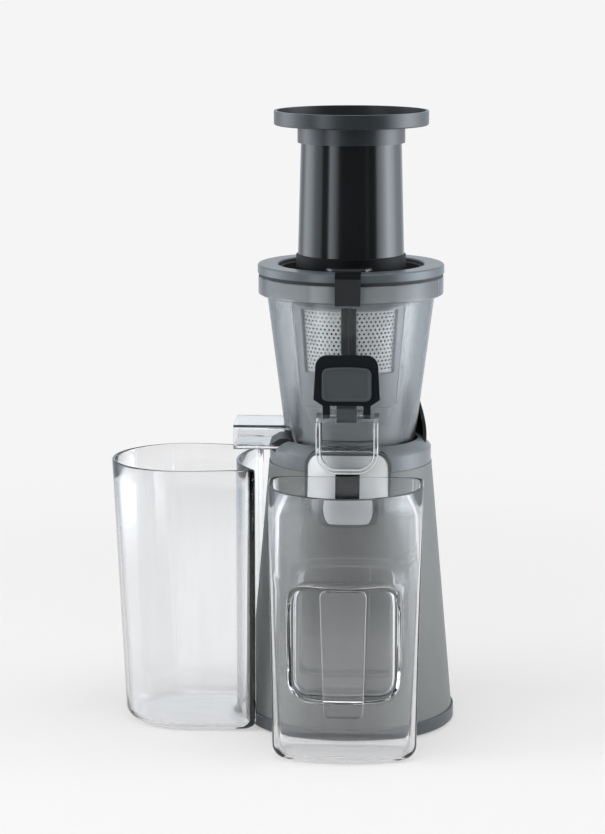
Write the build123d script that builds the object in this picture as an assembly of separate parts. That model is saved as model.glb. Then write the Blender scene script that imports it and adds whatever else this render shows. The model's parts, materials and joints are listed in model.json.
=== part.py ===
"""Cold press juicer: a tapered motor base, a clear juice bowl with a slow screw, a jug and a pulp container.

Millimetres, +Z up. The origin is where the screw's axis meets the worktop.
The juice spout faces -Y, the pulp chute faces -X and the mains gland faces +Y.
A cutter runs 1 mm past each face that it cuts.
"""

import os
from math import atan, cos, degrees, pi, radians, sin, sqrt, tan

from build123d import *

os.makedirs("parts", exist_ok=True)

# ---------------------------------------------------------------- clearances
SEAT_GAP = 0.3  # between pieces of two bodies where one rests on the other
RUN_FIT = 0.05  # radial, a shaft in its bearing
SNUG = 0.15  # between pressed or glued pieces of one body
SLIP_GAP = 0.4  # radial, a piece that is pulled off by hand
FLAT_FIT = 0.1  # each side, a hexagonal shaft in its socket
PRESSED = 0.02  # radial, a pin or shaft pressed into its hole
NOTCH_MARGIN = 1.2  # around the pulp chute where it leaves the base

# ---------------------------------------------------------------- motor base
FOOT_R = 74.8
FOOT_RING_WALL = 4.3
FOOT_INNER_R = FOOT_R - FOOT_RING_WALL
FOOT_LIFT = 1.5
FOOT_TOP = 8.2
FOOT_LIP_HEIGHT = 2.8
FOOT_LIP_TOP = FOOT_TOP + FOOT_LIP_HEIGHT
BODY_LEDGE = 1.25  # how far the foot ring stands out past the body
BODY_FOOT_R = FOOT_R - BODY_LEDGE
BODY_TOP_R = 57.8
BODY_TOP = 189.0
BODY_WALL = 2.6
BODY_LIFT = 0.2
BODY_BOTTOM = FOOT_TOP + BODY_LIFT
BASE_PLATE_THICK = 2.5
SCREW_COUNT = 4
SCREW_INSET = 5.2
SCREW_CIRCLE_R = FOOT_INNER_R - SCREW_INSET
SCREW_SHANK_R = 1.5
SCREW_HEAD_R = 3.2
SCREW_HEAD_THICK = 1.2
SCREW_DRIVE_WIDTH = 0.8
SCREW_LENGTH = 16.0
BOSS_R = 6.2
BOSS_HEIGHT = 22.0
GRIP_HEIGHT = 3.0  # rubber ring that the base stands on
GRIP_INSET = 6.3  # from the circle of screws
GRIP_WIDTH = 7.0
GRIP_OUTER_R = SCREW_CIRCLE_R - GRIP_INSET
GRIP_INNER_R = GRIP_OUTER_R - GRIP_WIDTH
VENT_COUNT = 12
VENT_WIDTH = 3.0
VENT_LENGTH = 24.0
VENT_INSET = 8.0  # from the rubber ring
VENT_INNER_R = GRIP_INNER_R - VENT_INSET - VENT_LENGTH
EDGE_BREAK = 0.8

# ---------------------------------------------------------------- juice bowl
SEAT_RISE = 6.0
SEAT_FLOOR = BODY_TOP + SEAT_RISE
BOWL_BOTTOM = SEAT_FLOOR + SEAT_GAP
BOWL_CORNER_RISE = 9.0
BOWL_CORNER_Z = SEAT_FLOOR + BOWL_CORNER_RISE
COLLAR_STEP = 0.5
COLLAR_R = BODY_TOP_R - COLLAR_STEP
BOWL_CORNER_INSET = 11.5
BOWL_CORNER_R = COLLAR_R - BOWL_CORNER_INSET
BOWL_FOOT_INSET = 4.8
BOWL_FOOT_R = BOWL_CORNER_R - BOWL_FOOT_INSET
BOWL_CONE_HEIGHT = 104.4
BOWL_SHOULDER_Z = BOWL_CORNER_Z + BOWL_CONE_HEIGHT
BOWL_FLARE = 13.3
BOWL_SHOULDER_R = BOWL_CORNER_R + BOWL_FLARE
BOWL_RIM_STEP = 6.1
BOWL_RIM_R = BOWL_SHOULDER_R + BOWL_RIM_STEP
BOWL_RIM_HEIGHT = 12.6
BOWL_RIM_TOP = BOWL_SHOULDER_Z + BOWL_RIM_HEIGHT
BOWL_WALL = 3.0
BOWL_FLOOR_THICK = 4.0
BOWL_HUB_R = 14.0
BOWL_HUB_HEIGHT = 11.0
BOWL_HUB_TOP = SEAT_FLOOR + BOWL_HUB_HEIGHT
BOWL_HUB_BORE_R = 11.5
BOWL_CORNER_ROUND = (1.6, 4.6)  # inwards and down from the corner
RIM_RIB_HALF_PITCH = 12.2
RIM_RIB_WIDTH = 2.0
RIM_RIB_RISE = 1.6
RIM_RIB_BOTTOM = BOWL_SHOULDER_Z + RIM_RIB_RISE
RIM_RIB_PROUD = 1.8

# ---------------------------------------------------------------- collar and bowl seat
COLLAR_BAND = 12.0
COLLAR_BAND_TOP = BODY_TOP + COLLAR_BAND
COLLAR_WALL = 2.6
COLLAR_LIP_GAP = 1.8  # around the bowl's corner
COLLAR_LIP_R = BOWL_CORNER_R + COLLAR_LIP_GAP
COLLAR_LIP_HEIGHT = 5.0
COLLAR_LIP_TOP = COLLAR_BAND_TOP + COLLAR_LIP_HEIGHT
COLLAR_SHOULDER = 1.5  # height of the rounded edge above the band
SEAT_THICK = 3.5
REAR_WALL_OUT = 8.4  # outside of the rear wall, from the bowl's corner
REAR_WALL_LEAN = 1.2
REAR_WALL_R = BOWL_CORNER_R + REAR_WALL_OUT
REAR_WALL_TOP_R = REAR_WALL_R - REAR_WALL_LEAN
REAR_WALL_THICK = 2.4
REAR_WALL_HEIGHT = 30.0
REAR_WALL_TOP = COLLAR_LIP_TOP + REAR_WALL_HEIGHT
REAR_WALL_START_Y = -10.0
REAR_WALL_FULL_Y = 27.0
REAR_WALL_TOE = 4.0  # how far below the collar's lip its swept ends start
POST_R = 4.5
POST_CIRCLE_R = 46.0
POST_COUNT = 4

# ---------------------------------------------------------------- control plate and rocker
PLATE_HALF_WIDTH = 28.0
PLATE_RISE = 14.0
PLATE_HEIGHT = 48.0
PLATE_TOP = BODY_TOP + PLATE_RISE
PLATE_BOTTOM = PLATE_TOP - PLATE_HEIGHT
PLATE_TOP_CORNER_R = 10.0
PLATE_BOTTOM_CORNER_R = 17.0
PLATE_STANDOFF = 0.2
PLATE_THICK = 1.5
SURROUND_WIDTH = 2.0
SURROUND_THICK = 1.9
ROCKER_HALF_WIDTH = 8.0
ROCKER_R = 16.0
ROCKER_RISE = 18.5
ROCKER_Z = PLATE_BOTTOM + ROCKER_RISE
ROCKER_PIVOT_DEPTH = 3.5
ROCKER_PIVOT_Y = ROCKER_PIVOT_DEPTH - BODY_TOP_R
ROCKER_FACE = 7.0  # pivot to the middle of the face
ROCKER_DISH = 1.0  # how far the ends of the face stand out past its middle
ROCKER_BACK = 5.0
ROCKER_GAP = 0.45
ROCKER_PIN_R = 1.5
ROCKER_PIN_LENGTH = 2.0
SWITCH_WALL = 2.6
SWITCH_DEPTH = 24.0
SWITCH_INSET = 1.4
SWITCH_FRONT_Y = SWITCH_INSET - BODY_TOP_R

# ---------------------------------------------------------------- drive train
DRIVE_SHAFT_R = 8.0
DRIVE_HEX_AF = 12.0
DRIVE_HEX_HEIGHT = 38.0  # above the bowl's hub
DRIVE_HEX_TOP = BOWL_HUB_TOP + DRIVE_HEX_HEIGHT
STUB_R = 5.0
MODULE_FAST = 0.9
MODULE_SLOW = 1.2
PINION_TEETH = 11
FAST_WHEEL_TEETH = 44
SLOW_PINION_TEETH = 11
SLOW_WHEEL_TEETH = 40
PRESSURE_ANGLE = 20.0
TOOTH_THINNING = 0.12  # share of the pitch taken off for backlash
ADDENDUM = 0.85  # in modules, short so that the small pinions keep their tips
DEDENDUM = 1.2  # in modules
GEAR_FLOOR_GAP = 2.5
GEAR_SHELF_GAP = 1.0
HEX_CHAMFER = 1.2
GEAR_FACE_FAST = 10.0
GEAR_FACE_SLOW = 12.0
MOTOR_BOTTOM = 26.0
MOTOR_LENGTH = 80.0
GEARBOX_BOTTOM = MOTOR_BOTTOM + MOTOR_LENGTH
GEARBOX_FLOOR = 3.0
GEARBOX_WALL = 3.0
GEARBOX_HEIGHT = 40.0
GEARBOX_TOP = GEARBOX_BOTTOM + GEARBOX_HEIGHT
GEARBOX_COVER_THICK = 4.0
GEARBOX_COVER_R = 51.0
GEARBOX_MARGIN = 2.5
BULKHEAD_THICK = 4.0
BULKHEAD_RISE = 18.5
BULKHEAD_BOTTOM = GEARBOX_BOTTOM + BULKHEAD_RISE
IDLER_PIN_R = 3.0
BEARING_OUTER_R = 13.0
BEARING_HEIGHT = 8.0
BEARING_RACE = 2.0
BEARING_GROOVE = 0.5
BEARING_BOSS = 4.0
SEAL_OUTER_R = 12.5
SEAL_WALL = 1.2
SEAL_DROP = 0.5  # below the seat's floor
MOTOR_R = 37.5
MOTOR_WALL = 2.0
MOTOR_SHAFT_R = 4.0
MOTOR_BEARING_R = 10.0
MOTOR_CAP_THICK = 4.0
MOTOR_CAP_BOSS = 4.0
MOTOR_CAP_WINDOWS = 4
MOTOR_WINDOW = (16.0, 28.0, 6.0)  # near and far radius, half width
ARMATURE_START = 26.0  # above the bottom of the motor
ARMATURE_END = 12.0  # below the top of the motor
MAGNET_OVERHANG = 4.0  # past each end of the armature
MAGNET_THICK = 6.0
MAGNET_ANGLE = 130.0
AIR_GAP = 0.8
ARMATURE_SLOTS = 12
ARMATURE_SLOT_WIDTH = 3.0
ARMATURE_SLOT_DEPTH = 9.0
COMMUTATOR_R = 10.0
COMMUTATOR_HEIGHT = 9.0
COMMUTATOR_GAP = 2.0
FAN_R = 33.0
FAN_HUB_R = 8.0
FAN_HEIGHT = 8.0
FAN_BLADES = 9
FAN_SHEET = 1.2
FAN_GAP = 1.5

# ---------------------------------------------------------------- mains gland
GLAND_Z = 24.0
GLAND_R = 5.0
GLAND_FLANGE_R = 7.5
GLAND_BORE_R = 3.2
GLAND_FLANGE_THICK = 1.2
GLAND_NUT_THICK = 8.0
GLAND_NUT_GAP = 1.6
GLAND_REACH = 14.0

# ---------------------------------------------------------------- juice spout
JUG_RIM_GAP = 8.2
JUG_RIM_BACK = -BODY_TOP_R - JUG_RIM_GAP
SPOUT_OVERHANG = 6.0  # past the jug's rim
SPOUT_FACE_Y = JUG_RIM_BACK - SPOUT_OVERHANG
SPOUT_HALF_WIDTH = 21.6
SPOUT_DROP = 3.0
SPOUT_HEIGHT = 39.0
SPOUT_BOTTOM = SEAT_FLOOR - SPOUT_DROP
SPOUT_TOP = SPOUT_BOTTOM + SPOUT_HEIGHT
SPOUT_CORNER_R = 15.0
SPOUT_WALL = 3.4
SPOUT_ROOF = 2.5
SPOUT_NECK_GAP = 0.8
SPOUT_NECK_BOTTOM = COLLAR_LIP_TOP + SPOUT_NECK_GAP
SPOUT_LIP_DEPTH = 10.0
SPOUT_LIP_Y = SPOUT_FACE_Y + SPOUT_LIP_DEPTH  # where the underside starts to rise
SPOUT_ROOT_INSET = 11.8
SPOUT_ROOT_Y = SPOUT_ROOT_INSET - BOWL_CORNER_R
SPOUT_NECK_RUN = 3.0
SADDLE_HALF_WIDTH = 30.5
SADDLE_RISE = 3.5
SADDLE_HEIGHT = 20.5
SADDLE_TOP = SPOUT_TOP + SADDLE_RISE
SADDLE_BOTTOM = SADDLE_TOP - SADDLE_HEIGHT
SADDLE_PROUD_LOW = 7.0  # off the bowl's side, where the shoulder meets the spout
SADDLE_PROUD_HIGH = 2.4
PANEL_THICK = 1.2
PANEL_HALF_TOP = 41.0
PANEL_HALF_BOTTOM = 34.0
PANEL_SINK = 2.0
PANEL_BOTTOM = SADDLE_TOP - PANEL_SINK

# ---------------------------------------------------------------- drip cap
CAP_HINGE_RISE = 4.0
CAP_HINGE_Z = SPOUT_TOP + CAP_HINGE_RISE
CAP_HINGE_AHEAD = 4.0  # hinge axis in front of the spout's face
CAP_BARREL_R = 3.2
CAP_PIN_R = 1.25
CAP_EAR_INNER = 11.4
CAP_EAR_OUTER = 16.4
CAP_TOP_INSET = 0.6
CAP_BOTTOM_FLARE = 1.1
CAP_HALF_TOP = SPOUT_HALF_WIDTH - CAP_TOP_INSET
CAP_HALF_BOTTOM = SPOUT_HALF_WIDTH + CAP_BOTTOM_FLARE
CAP_COVER = 2.0  # past the far end of the spout when shut
CAP_TOP = CAP_HINGE_Z + SPOUT_HEIGHT + CAP_COVER
CAP_NECK = 6.2
CAP_BOTTOM = CAP_HINGE_Z + CAP_NECK
CAP_CORNER_R = 8.0
CAP_CHAMFER = 4.2
CAP_THICK = 2.8
PLUG_SIDE_GAP = 1.3
PLUG_HALF_WIDTH = SPOUT_HALF_WIDTH - SPOUT_WALL - PLUG_SIDE_GAP
PLUG_TOP_INSET = 8.0
PLUG_BOTTOM_INSET = 3.4
PLUG_TOP = CAP_TOP - PLUG_TOP_INSET
PLUG_BOTTOM = CAP_BOTTOM + PLUG_BOTTOM_INSET
PLUG_PROUD = 2.4
PLUG_CORNER_R = 4.0
PLUG_CROWN = 1.2
LUG_INNER = 7.4
LUG_LENGTH = 12.0
LUG_RISE = 2.0
BUMPER_SIDE_GAP = 0.5
BUMPER_FRONT = 3.9  # from the hinge's axis
BUMPER_TOP = 5.4
BUMPER_DROP = 5.7
BUMPER_BEVEL = 1.8
BUMPER_HEEL = 9.0  # how far back the bumper reaches on the spout's roof

# ---------------------------------------------------------------- pulp chute
PULP_GAP = 4.2
PULP_NEAR_R = FOOT_R + PULP_GAP
CHUTE_OVERHANG = 3.0  # past the near side of the pulp container
CHUTE_END_X = -PULP_NEAR_R - CHUTE_OVERHANG
CHUTE_ROOT_INSET = 11.8
CHUTE_ROOT_X = CHUTE_ROOT_INSET - BOWL_CORNER_R
CHUTE_HALF_WIDTH = 23.0
CHUTE_RISE = 4.2
CHUTE_HEIGHT = 17.4
CHUTE_BOTTOM = SEAT_FLOOR + CHUTE_RISE
CHUTE_TOP = CHUTE_BOTTOM + CHUTE_HEIGHT
CHUTE_WALL = 2.4
CHUTE_CORNER_R = 3.0

# ---------------------------------------------------------------- strainer
STRAINER_RISE = 0.6
STRAINER_BOTTOM = CHUTE_BOTTOM + STRAINER_RISE
STRAINER_INSET = 11.8  # inside the bowl's corner
STRAINER_LOW_R = BOWL_CORNER_R - STRAINER_INSET
STRAINER_CUP_HEIGHT = 17.2
STRAINER_MESH_BOTTOM = STRAINER_BOTTOM + STRAINER_CUP_HEIGHT
MESH_TOP_INSET = 5.4
STRAINER_MESH_TOP = BOWL_SHOULDER_Z - MESH_TOP_INSET
STRAINER_FLARE = 6.0
STRAINER_HIGH_R = STRAINER_LOW_R + STRAINER_FLARE
STRAINER_RIB_THICK = 2.2
STRAINER_RIB_WIDTH = 11.0
STRAINER_WINDOWS = 6
STRAINER_BAND_THICK = 2.6
STRAINER_RIM_INSET = 7.0
STRAINER_RIM_TOP = BOWL_RIM_TOP - STRAINER_RIM_INSET
STRAINER_RIM_GAP = 0.6
STRAINER_WINDOW_MARGINS = (39.5, 2.0)  # solid wall below and above the windows
STRIP_WIDTH = 10.0  # silicone strip on the front rib
STRIP_THICK = 1.0
MESH_THICK = 0.6
MESH_HEM = 2.0
PULP_WINDOW_SILL = 2.5
PULP_WINDOW_SIDE = 6.0
PULP_WINDOW_HALF = CHUTE_HALF_WIDTH - PULP_WINDOW_SIDE
PULP_WINDOW_LINTEL = 3.1
PULP_WINDOW_TOP = CHUTE_TOP - PULP_WINDOW_LINTEL
PULP_PLUG_GAP = 4.0  # from the strainer's foot
PULP_PLUG_LENGTH = 19.0
PULP_PLUG_ROOT_X = -STRAINER_LOW_R - PULP_PLUG_GAP
PULP_PLUG_TIP_X = PULP_PLUG_ROOT_X - PULP_PLUG_LENGTH
PULP_PLUG_THICK = 5.0
PULP_PLUG_RAMP = 8.0

# ---------------------------------------------------------------- screw
SCREW_TIP_GAP = 1.3
AUGER_RISE = 3.2
AUGER_BOTTOM = STRAINER_BOTTOM + AUGER_RISE
AUGER_TOP_INSET = 5.0
AUGER_TOP = STRAINER_MESH_TOP - AUGER_TOP_INSET
AUGER_CORE_LOW_R = 23.0
AUGER_CORE_HIGH_R = 10.0
AUGER_NOSE_R = 7.0
AUGER_DISC_HEIGHT = 12.0
AUGER_DISC_TOP = AUGER_BOTTOM + AUGER_DISC_HEIGHT
AUGER_DISC_CHAMFER = 3.0
AUGER_NOSE_LENGTH = 8.0
AUGER_NOSE_ROUND = 2.0
AUGER_HUB_GAP = 0.6
AUGER_PITCH = 46.0
AUGER_STARTS = 2
FLIGHT_TIP_THICK = 2.2
FLIGHT_ROOT_THICK = 5.0
FLIGHT_DEPTH = 24.0
FLIGHT_SINK = 3.0
FLIGHT_BOTTOM = AUGER_DISC_TOP - FLIGHT_SINK
FLIGHT_TOP_INSET = 6.0
FLIGHT_TOP = AUGER_TOP - FLIGHT_TOP_INSET
SOCKET_HEADROOM = 2.0
SOCKET_TOP = DRIVE_HEX_TOP + SOCKET_HEADROOM

# ---------------------------------------------------------------- lid, feed tube and tray
LID_RING_OVERHANG = 0.5
LID_RING_R = BOWL_RIM_R + LID_RING_OVERHANG
LID_RING_WIDTH = 14.2
LID_RING_INNER_R = LID_RING_R - LID_RING_WIDTH
WELL_WIDTH = 13.9
TUBE_LOW_R = LID_RING_INNER_R - WELL_WIDTH
TUBE_TAPER = 2.2
TUBE_HIGH_R = TUBE_LOW_R - TUBE_TAPER
TUBE_WALL = 2.4
TUBE_FILLET = 9.0
LID_SKIRT_GAP = 0.5
LID_SKIRT_THICK = 2.0
LID_SKIRT_DEPTH = 5.0
LID_SKIRT_BOTTOM = BOWL_RIM_TOP - LID_SKIRT_DEPTH
LID_PLATE_THICK = 2.2
LID_WELL_SINK = 0.4
LID_WELL_FLOOR = BOWL_RIM_TOP - LID_WELL_SINK
LID_RING_HEIGHT = 8.6
LID_RING_TOP = BOWL_RIM_TOP + LID_RING_HEIGHT
LID_RING_ROUND = 1.4
LID_TAB_HALF = 8.7
LID_TAB_DEPTH = 13.0
LID_TAB_BOTTOM = BOWL_RIM_TOP - LID_TAB_DEPTH
LID_TAB_THICK = 2.4
LID_TAB_RISE = 0.6  # above the lid's ring, and clear of the bowl's rim
THUMB_R = 16.5
THUMB_INSET = 14.0
THUMB_Y = THUMB_INSET - LID_RING_INNER_R
THUMB_RISE = 1.9
THUMB_TOP = LID_RING_TOP + THUMB_RISE
THUMB_ROUND = 2.0
WELL_WALL = 2.0
WELL_WALL_SINK = 3.0  # below the top of the lid's ring
TUBE_DEPTH = 7.5
TUBE_BOTTOM = BOWL_RIM_TOP - TUBE_DEPTH
TUBE_HEIGHT = 96.9
TUBE_TOP = LID_RING_TOP + TUBE_HEIGHT
ARC_SAG = 1 - sqrt(0.5)  # middle of a quarter round, as a share of its radius
TRAY_OVERHANG = 18.8
TRAY_R = TUBE_HIGH_R + TRAY_OVERHANG
TRAY_RISE = 10.3
TRAY_TOP = TUBE_TOP + TRAY_RISE
TRAY_WALL = 2.0
TRAY_FLOOR_THICK = 2.2
TRAY_SLEEVE_WALL = 1.9
TRAY_SLEEVE_DEPTH = 11.9
TRAY_SLEEVE_BOTTOM = TUBE_TOP - TRAY_SLEEVE_DEPTH
TRAY_MOUTH_STEP = 0.4  # wider than the tube's bore
TRAY_MOUTH_R = TUBE_HIGH_R - TUBE_WALL + TRAY_MOUTH_STEP

# ---------------------------------------------------------------- jug and pulp container
VESSEL_RIM_GAP = 2.5  # under the spout
VESSEL_RIM = SPOUT_BOTTOM - VESSEL_RIM_GAP
VESSEL_WALL = 2.4
VESSEL_FLOOR = 3.0
JUG_FOOT_ROUND = 10.0
PULP_FOOT_ROUND = 8.0
JUG_CENTRE_X = 0.0
JUG_RIM_HALF = 53.2
JUG_RIM_FLANK = 30.0  # from the back to where the front starts to curve
JUG_RIM_DEPTH = 77.5
JUG_RIM_SIDE = JUG_RIM_BACK - JUG_RIM_FLANK
JUG_RIM_FRONT = JUG_RIM_BACK - JUG_RIM_DEPTH
JUG_GAP = 3.2
JUG_FOOT_HALF = 49.4
JUG_FOOT_FLANK = 34.0
JUG_FOOT_DEPTH = 46.0
JUG_FOOT_BACK = -FOOT_R - JUG_GAP
JUG_FOOT_SIDE = JUG_FOOT_BACK - JUG_FOOT_FLANK
JUG_FOOT_FRONT = JUG_FOOT_BACK - JUG_FOOT_DEPTH
JUG_BACK_CORNER_R = 9.0
JUG_FRONT_CORNER_R = 9.0
GRIP_HALF_WIDTH = 31.0  # at the back of the finger well
GRIP_BOTTOM = 47.0
GRIP_TOP = 124.0
GRIP_DEPTH = 24.0
GRIP_CORNER_R = 10.0
GRIP_FLARE = 9.0  # how much wider the finger well is at its mouth, each side
GRIP_MOUTH_CORNER_R = 20.0
STRAP_HALF_TOP = 16.0
STRAP_HALF_BOTTOM = 13.4
STRAP_LAP = (13.0, 2.0)  # below and above the finger well
STRAP_BOTTOM = GRIP_BOTTOM - STRAP_LAP[0]
STRAP_TOP = GRIP_TOP + STRAP_LAP[1]
STRAP_THICK = 4.5
STRAP_PROUD = 1.5
STRAP_CORNER_R = 5.0
PULP_DEPTH = 91.5
PULP_FOOT_DEPTH = 82.5
PULP_FLANK = 33.0
PULP_FAR_X = -PULP_NEAR_R - PULP_DEPTH
PULP_FOOT_FAR_X = -PULP_NEAR_R - PULP_FOOT_DEPTH
PULP_HALF_WIDTH = 54.5
PULP_FOOT_HALF = 49.0
PULP_NEAR_HALF = 47.0
PULP_SIDE_X = -PULP_NEAR_R - PULP_FLANK
PULP_CORNER_R = 6.0
PULP_FAR_CORNER_R = 12.0


# ---------------------------------------------------------------- small helpers
def block(x0, x1, y0, y1, z0, z1):
    """Box between two corners."""
    size = (x1 - x0, y1 - y0, z1 - z0)
    centre = ((x0 + x1) / 2, (y0 + y1) / 2, (z0 + z1) / 2)
    return Pos(*centre) * Box(*size)


def rod(radius, z0, z1, x=0.0, y=0.0):
    """Upright cylinder."""
    return Pos(x, y, (z0 + z1) / 2) * Cylinder(radius, z1 - z0)


def tube(outer_r, inner_r, z0, z1, x=0.0, y=0.0):
    """Upright ring."""
    return rod(outer_r, z0, z1, x, y) - rod(inner_r, z0 - 1, z1 + 1, x, y)


def turned(*profile):
    """Solid of revolution about Z from a closed (radius, height) outline."""
    outline = make_face(Polyline(*profile, close=True))
    return revolve(Plane.XZ * outline, Axis.Z)


def across(face, half_width):
    """Face drawn in (y, z), extruded to both sides of X = 0."""
    return extrude(Plane.YZ * face, amount=half_width, both=True)


def facing(face, y_back, y_front):
    """Face drawn in (x, z), extruded from y_back towards the front."""
    return Pos(0, y_back, 0) * extrude(Plane.XZ * face, amount=y_back - y_front)


def upright(face, z0, z1):
    """Face drawn in (x, y), extruded upwards."""
    return Pos(0, 0, z0) * extrude(face, amount=z1 - z0)


def around(piece, count, start=0.0):
    """Copies of a piece, evenly spaced about Z."""
    return [Rot(0, 0, start + 360 * k / count) * piece for k in range(count)]


def lerp(a, b, t):
    return a + (b - a) * t


def body_radius(z):
    """Outer radius of the tapered body at a height."""
    return lerp(BODY_FOOT_R, BODY_TOP_R, (z - BODY_BOTTOM) / (BODY_TOP - BODY_BOTTOM))


def body_layer(inner, outer, z0, z1):
    """Skin that follows the body's side, between two offsets from it."""
    low, high = body_radius(z0), body_radius(z1)
    return turned((low + inner, z0), (low + outer, z0), (high + outer, z1), (high + inner, z1))


def bowl_radius(z):
    """Outer radius of the bowl's conical side."""
    t = (z - BOWL_CORNER_Z) / (BOWL_SHOULDER_Z - BOWL_CORNER_Z)
    return lerp(BOWL_CORNER_R, BOWL_SHOULDER_R, t)


def strainer_radius(z):
    """Inner radius of the strainer frame, which is the mesh's seat."""
    t = (z - STRAINER_MESH_BOTTOM) / (STRAINER_MESH_TOP - STRAINER_MESH_BOTTOM)
    return lerp(STRAINER_LOW_R, STRAINER_HIGH_R, max(t, 0.0))


# ---------------------------------------------------------------- motor base
def make_body_shell():
    shell = body_layer(-BODY_WALL, 0, BODY_BOTTOM, BODY_TOP)
    boss = rod(BOSS_R, BODY_BOTTOM, BOSS_HEIGHT, SCREW_CIRCLE_R)
    boss -= rod(SCREW_SHANK_R, BODY_BOTTOM - 1, BOSS_HEIGHT + 1, SCREW_CIRCLE_R)
    for copy in around(boss, SCREW_COUNT, 45):
        shell += copy
    shell -= switch_body(SNUG, -FOOT_R)
    shell -= gland_bore(GLAND_R + SNUG)
    return shell


def make_foot_ring():
    lip = BODY_FOOT_R + SEAT_GAP
    return turned(
        (FOOT_INNER_R, FOOT_LIFT),
        (FOOT_R - EDGE_BREAK, FOOT_LIFT),
        (FOOT_R, FOOT_LIFT + EDGE_BREAK),
        (FOOT_R, FOOT_LIP_TOP - EDGE_BREAK / 2),
        (FOOT_R - EDGE_BREAK / 2, FOOT_LIP_TOP),
        (lip, FOOT_LIP_TOP),
        (lip, FOOT_TOP),
        (FOOT_INNER_R, FOOT_TOP),
    )


def make_base_plate():
    plate = rod(FOOT_INNER_R - SNUG, GRIP_HEIGHT, GRIP_HEIGHT + BASE_PLATE_THICK)
    slot = Pos(VENT_INNER_R + VENT_LENGTH / 2, 0) * SlotOverall(VENT_LENGTH, VENT_WIDTH)
    vent = upright(slot, GRIP_HEIGHT - 1, GRIP_HEIGHT + BASE_PLATE_THICK + 1)
    for copy in around(vent, VENT_COUNT):
        plate -= copy
    hole = rod(SCREW_SHANK_R, 0, BODY_BOTTOM, SCREW_CIRCLE_R)
    for copy in around(hole, SCREW_COUNT, 45):
        plate -= copy
    return plate


def make_base_screws():
    head_bottom = GRIP_HEIGHT - SCREW_HEAD_THICK
    screw = rod(SCREW_HEAD_R, head_bottom, GRIP_HEIGHT, SCREW_CIRCLE_R)
    screw -= Pos(SCREW_CIRCLE_R, 0, head_bottom) * Box(SCREW_HEAD_R, SCREW_DRIVE_WIDTH, SCREW_HEAD_THICK)
    shank = rod(SCREW_SHANK_R - RUN_FIT, GRIP_HEIGHT, SCREW_LENGTH, SCREW_CIRCLE_R)
    return Compound(around(screw + shank, SCREW_COUNT, 45))


def make_grip_ring():
    return tube(GRIP_OUTER_R, GRIP_INNER_R, 0, GRIP_HEIGHT)


# ---------------------------------------------------------------- collar and bowl seat
def rear_wall_blank(grow):
    """Standing wall behind the bowl, before its ends are swept down."""
    low, high = REAR_WALL_R + grow, REAR_WALL_TOP_R + grow
    thick = REAR_WALL_THICK + 2 * grow
    return turned(
        (low, SEAT_FLOOR - SEAT_THICK),
        (low, COLLAR_LIP_TOP),
        (high, REAR_WALL_TOP),
        (high - thick, REAR_WALL_TOP),
        (low - thick, COLLAR_LIP_TOP),
        (low - thick, SEAT_FLOOR - SEAT_THICK),
    )


def sweep_down():
    """Region under the curve that lowers the rear wall towards the front."""
    start, full = REAR_WALL_START_Y, REAR_WALL_FULL_Y
    span, rise = full - start, REAR_WALL_TOP - COLLAR_LIP_TOP
    crest = Spline(
        (start, COLLAR_LIP_TOP - REAR_WALL_TOE),
        (start + 0.45 * span, COLLAR_LIP_TOP + 0.25 * rise),
        (full, REAR_WALL_TOP + 1),
    )
    ends = Polyline(
        crest @ 1,
        (2 * FOOT_R, REAR_WALL_TOP + 1),
        (2 * FOOT_R, BODY_BOTTOM),
        (start, BODY_BOTTOM),
        crest @ 0,
    )
    return across(make_face(crest + ends), FOOT_R)


def rear_wall(grow=0.0):
    return rear_wall_blank(grow) & sweep_down()


def chute_notch():
    """Room for the pulp chute, open upwards so that the bowl lifts out."""
    half = CHUTE_HALF_WIDTH + NOTCH_MARGIN
    floor = CHUTE_BOTTOM - NOTCH_MARGIN
    return block(-FOOT_R, -BOWL_FOOT_R, -half, half, floor, REAR_WALL_TOP + 1)


def plate_outline(grow):
    """Squarish control plate seen from the front, wider at the bottom corners' radius."""
    low, high = PLATE_BOTTOM - grow, PLATE_TOP + grow
    outline = Pos(0, (low + high) / 2) * Rectangle(2 * (PLATE_HALF_WIDTH + grow), high - low)
    lower = outline.vertices().group_by(Axis.Y)[0]
    outline = fillet(lower, PLATE_BOTTOM_CORNER_R + grow)
    upper = outline.vertices().group_by(Axis.Y)[-1]
    return fillet(upper, PLATE_TOP_CORNER_R + grow)


def plate_prism(grow):
    return facing(plate_outline(grow), -PLATE_HALF_WIDTH, -FOOT_R)


def make_collar_ring():
    inner = COLLAR_R - COLLAR_WALL
    bottom = BODY_TOP + SNUG
    edge = COLLAR_BAND_TOP - COLLAR_SHOULDER
    shoulder = ThreePointArc(
        (COLLAR_R, edge),
        (COLLAR_R - COLLAR_WALL, COLLAR_BAND_TOP + COLLAR_SHOULDER),
        (COLLAR_LIP_R + EDGE_BREAK, COLLAR_LIP_TOP),
    )
    rest = Polyline(
        shoulder @ 1,
        (COLLAR_LIP_R, COLLAR_LIP_TOP - EDGE_BREAK),
        (COLLAR_LIP_R, COLLAR_LIP_TOP - COLLAR_WALL),
        (inner, edge),
        (inner, bottom),
        (COLLAR_R, bottom),
        shoulder @ 0,
    )
    ring = revolve(Plane.XZ * make_face(shoulder + rest), Axis.Z)
    return ring - plate_prism(SURROUND_WIDTH + SNUG) - chute_notch() - rear_wall(SNUG)


def make_bowl_seat():
    floor_r = COLLAR_R - COLLAR_WALL - SNUG
    seat = tube(floor_r, SEAL_OUTER_R + SNUG, SEAT_FLOOR - SEAT_THICK, SEAT_FLOOR)
    seat += rear_wall()
    seat -= chute_notch()
    post = rod(POST_R, GEARBOX_TOP + GEARBOX_COVER_THICK, SEAT_FLOOR - SEAT_THICK, POST_CIRCLE_R)
    for copy in around(post, POST_COUNT, 45):
        seat += copy
    return seat - switch_body(SNUG, -FOOT_R)


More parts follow.
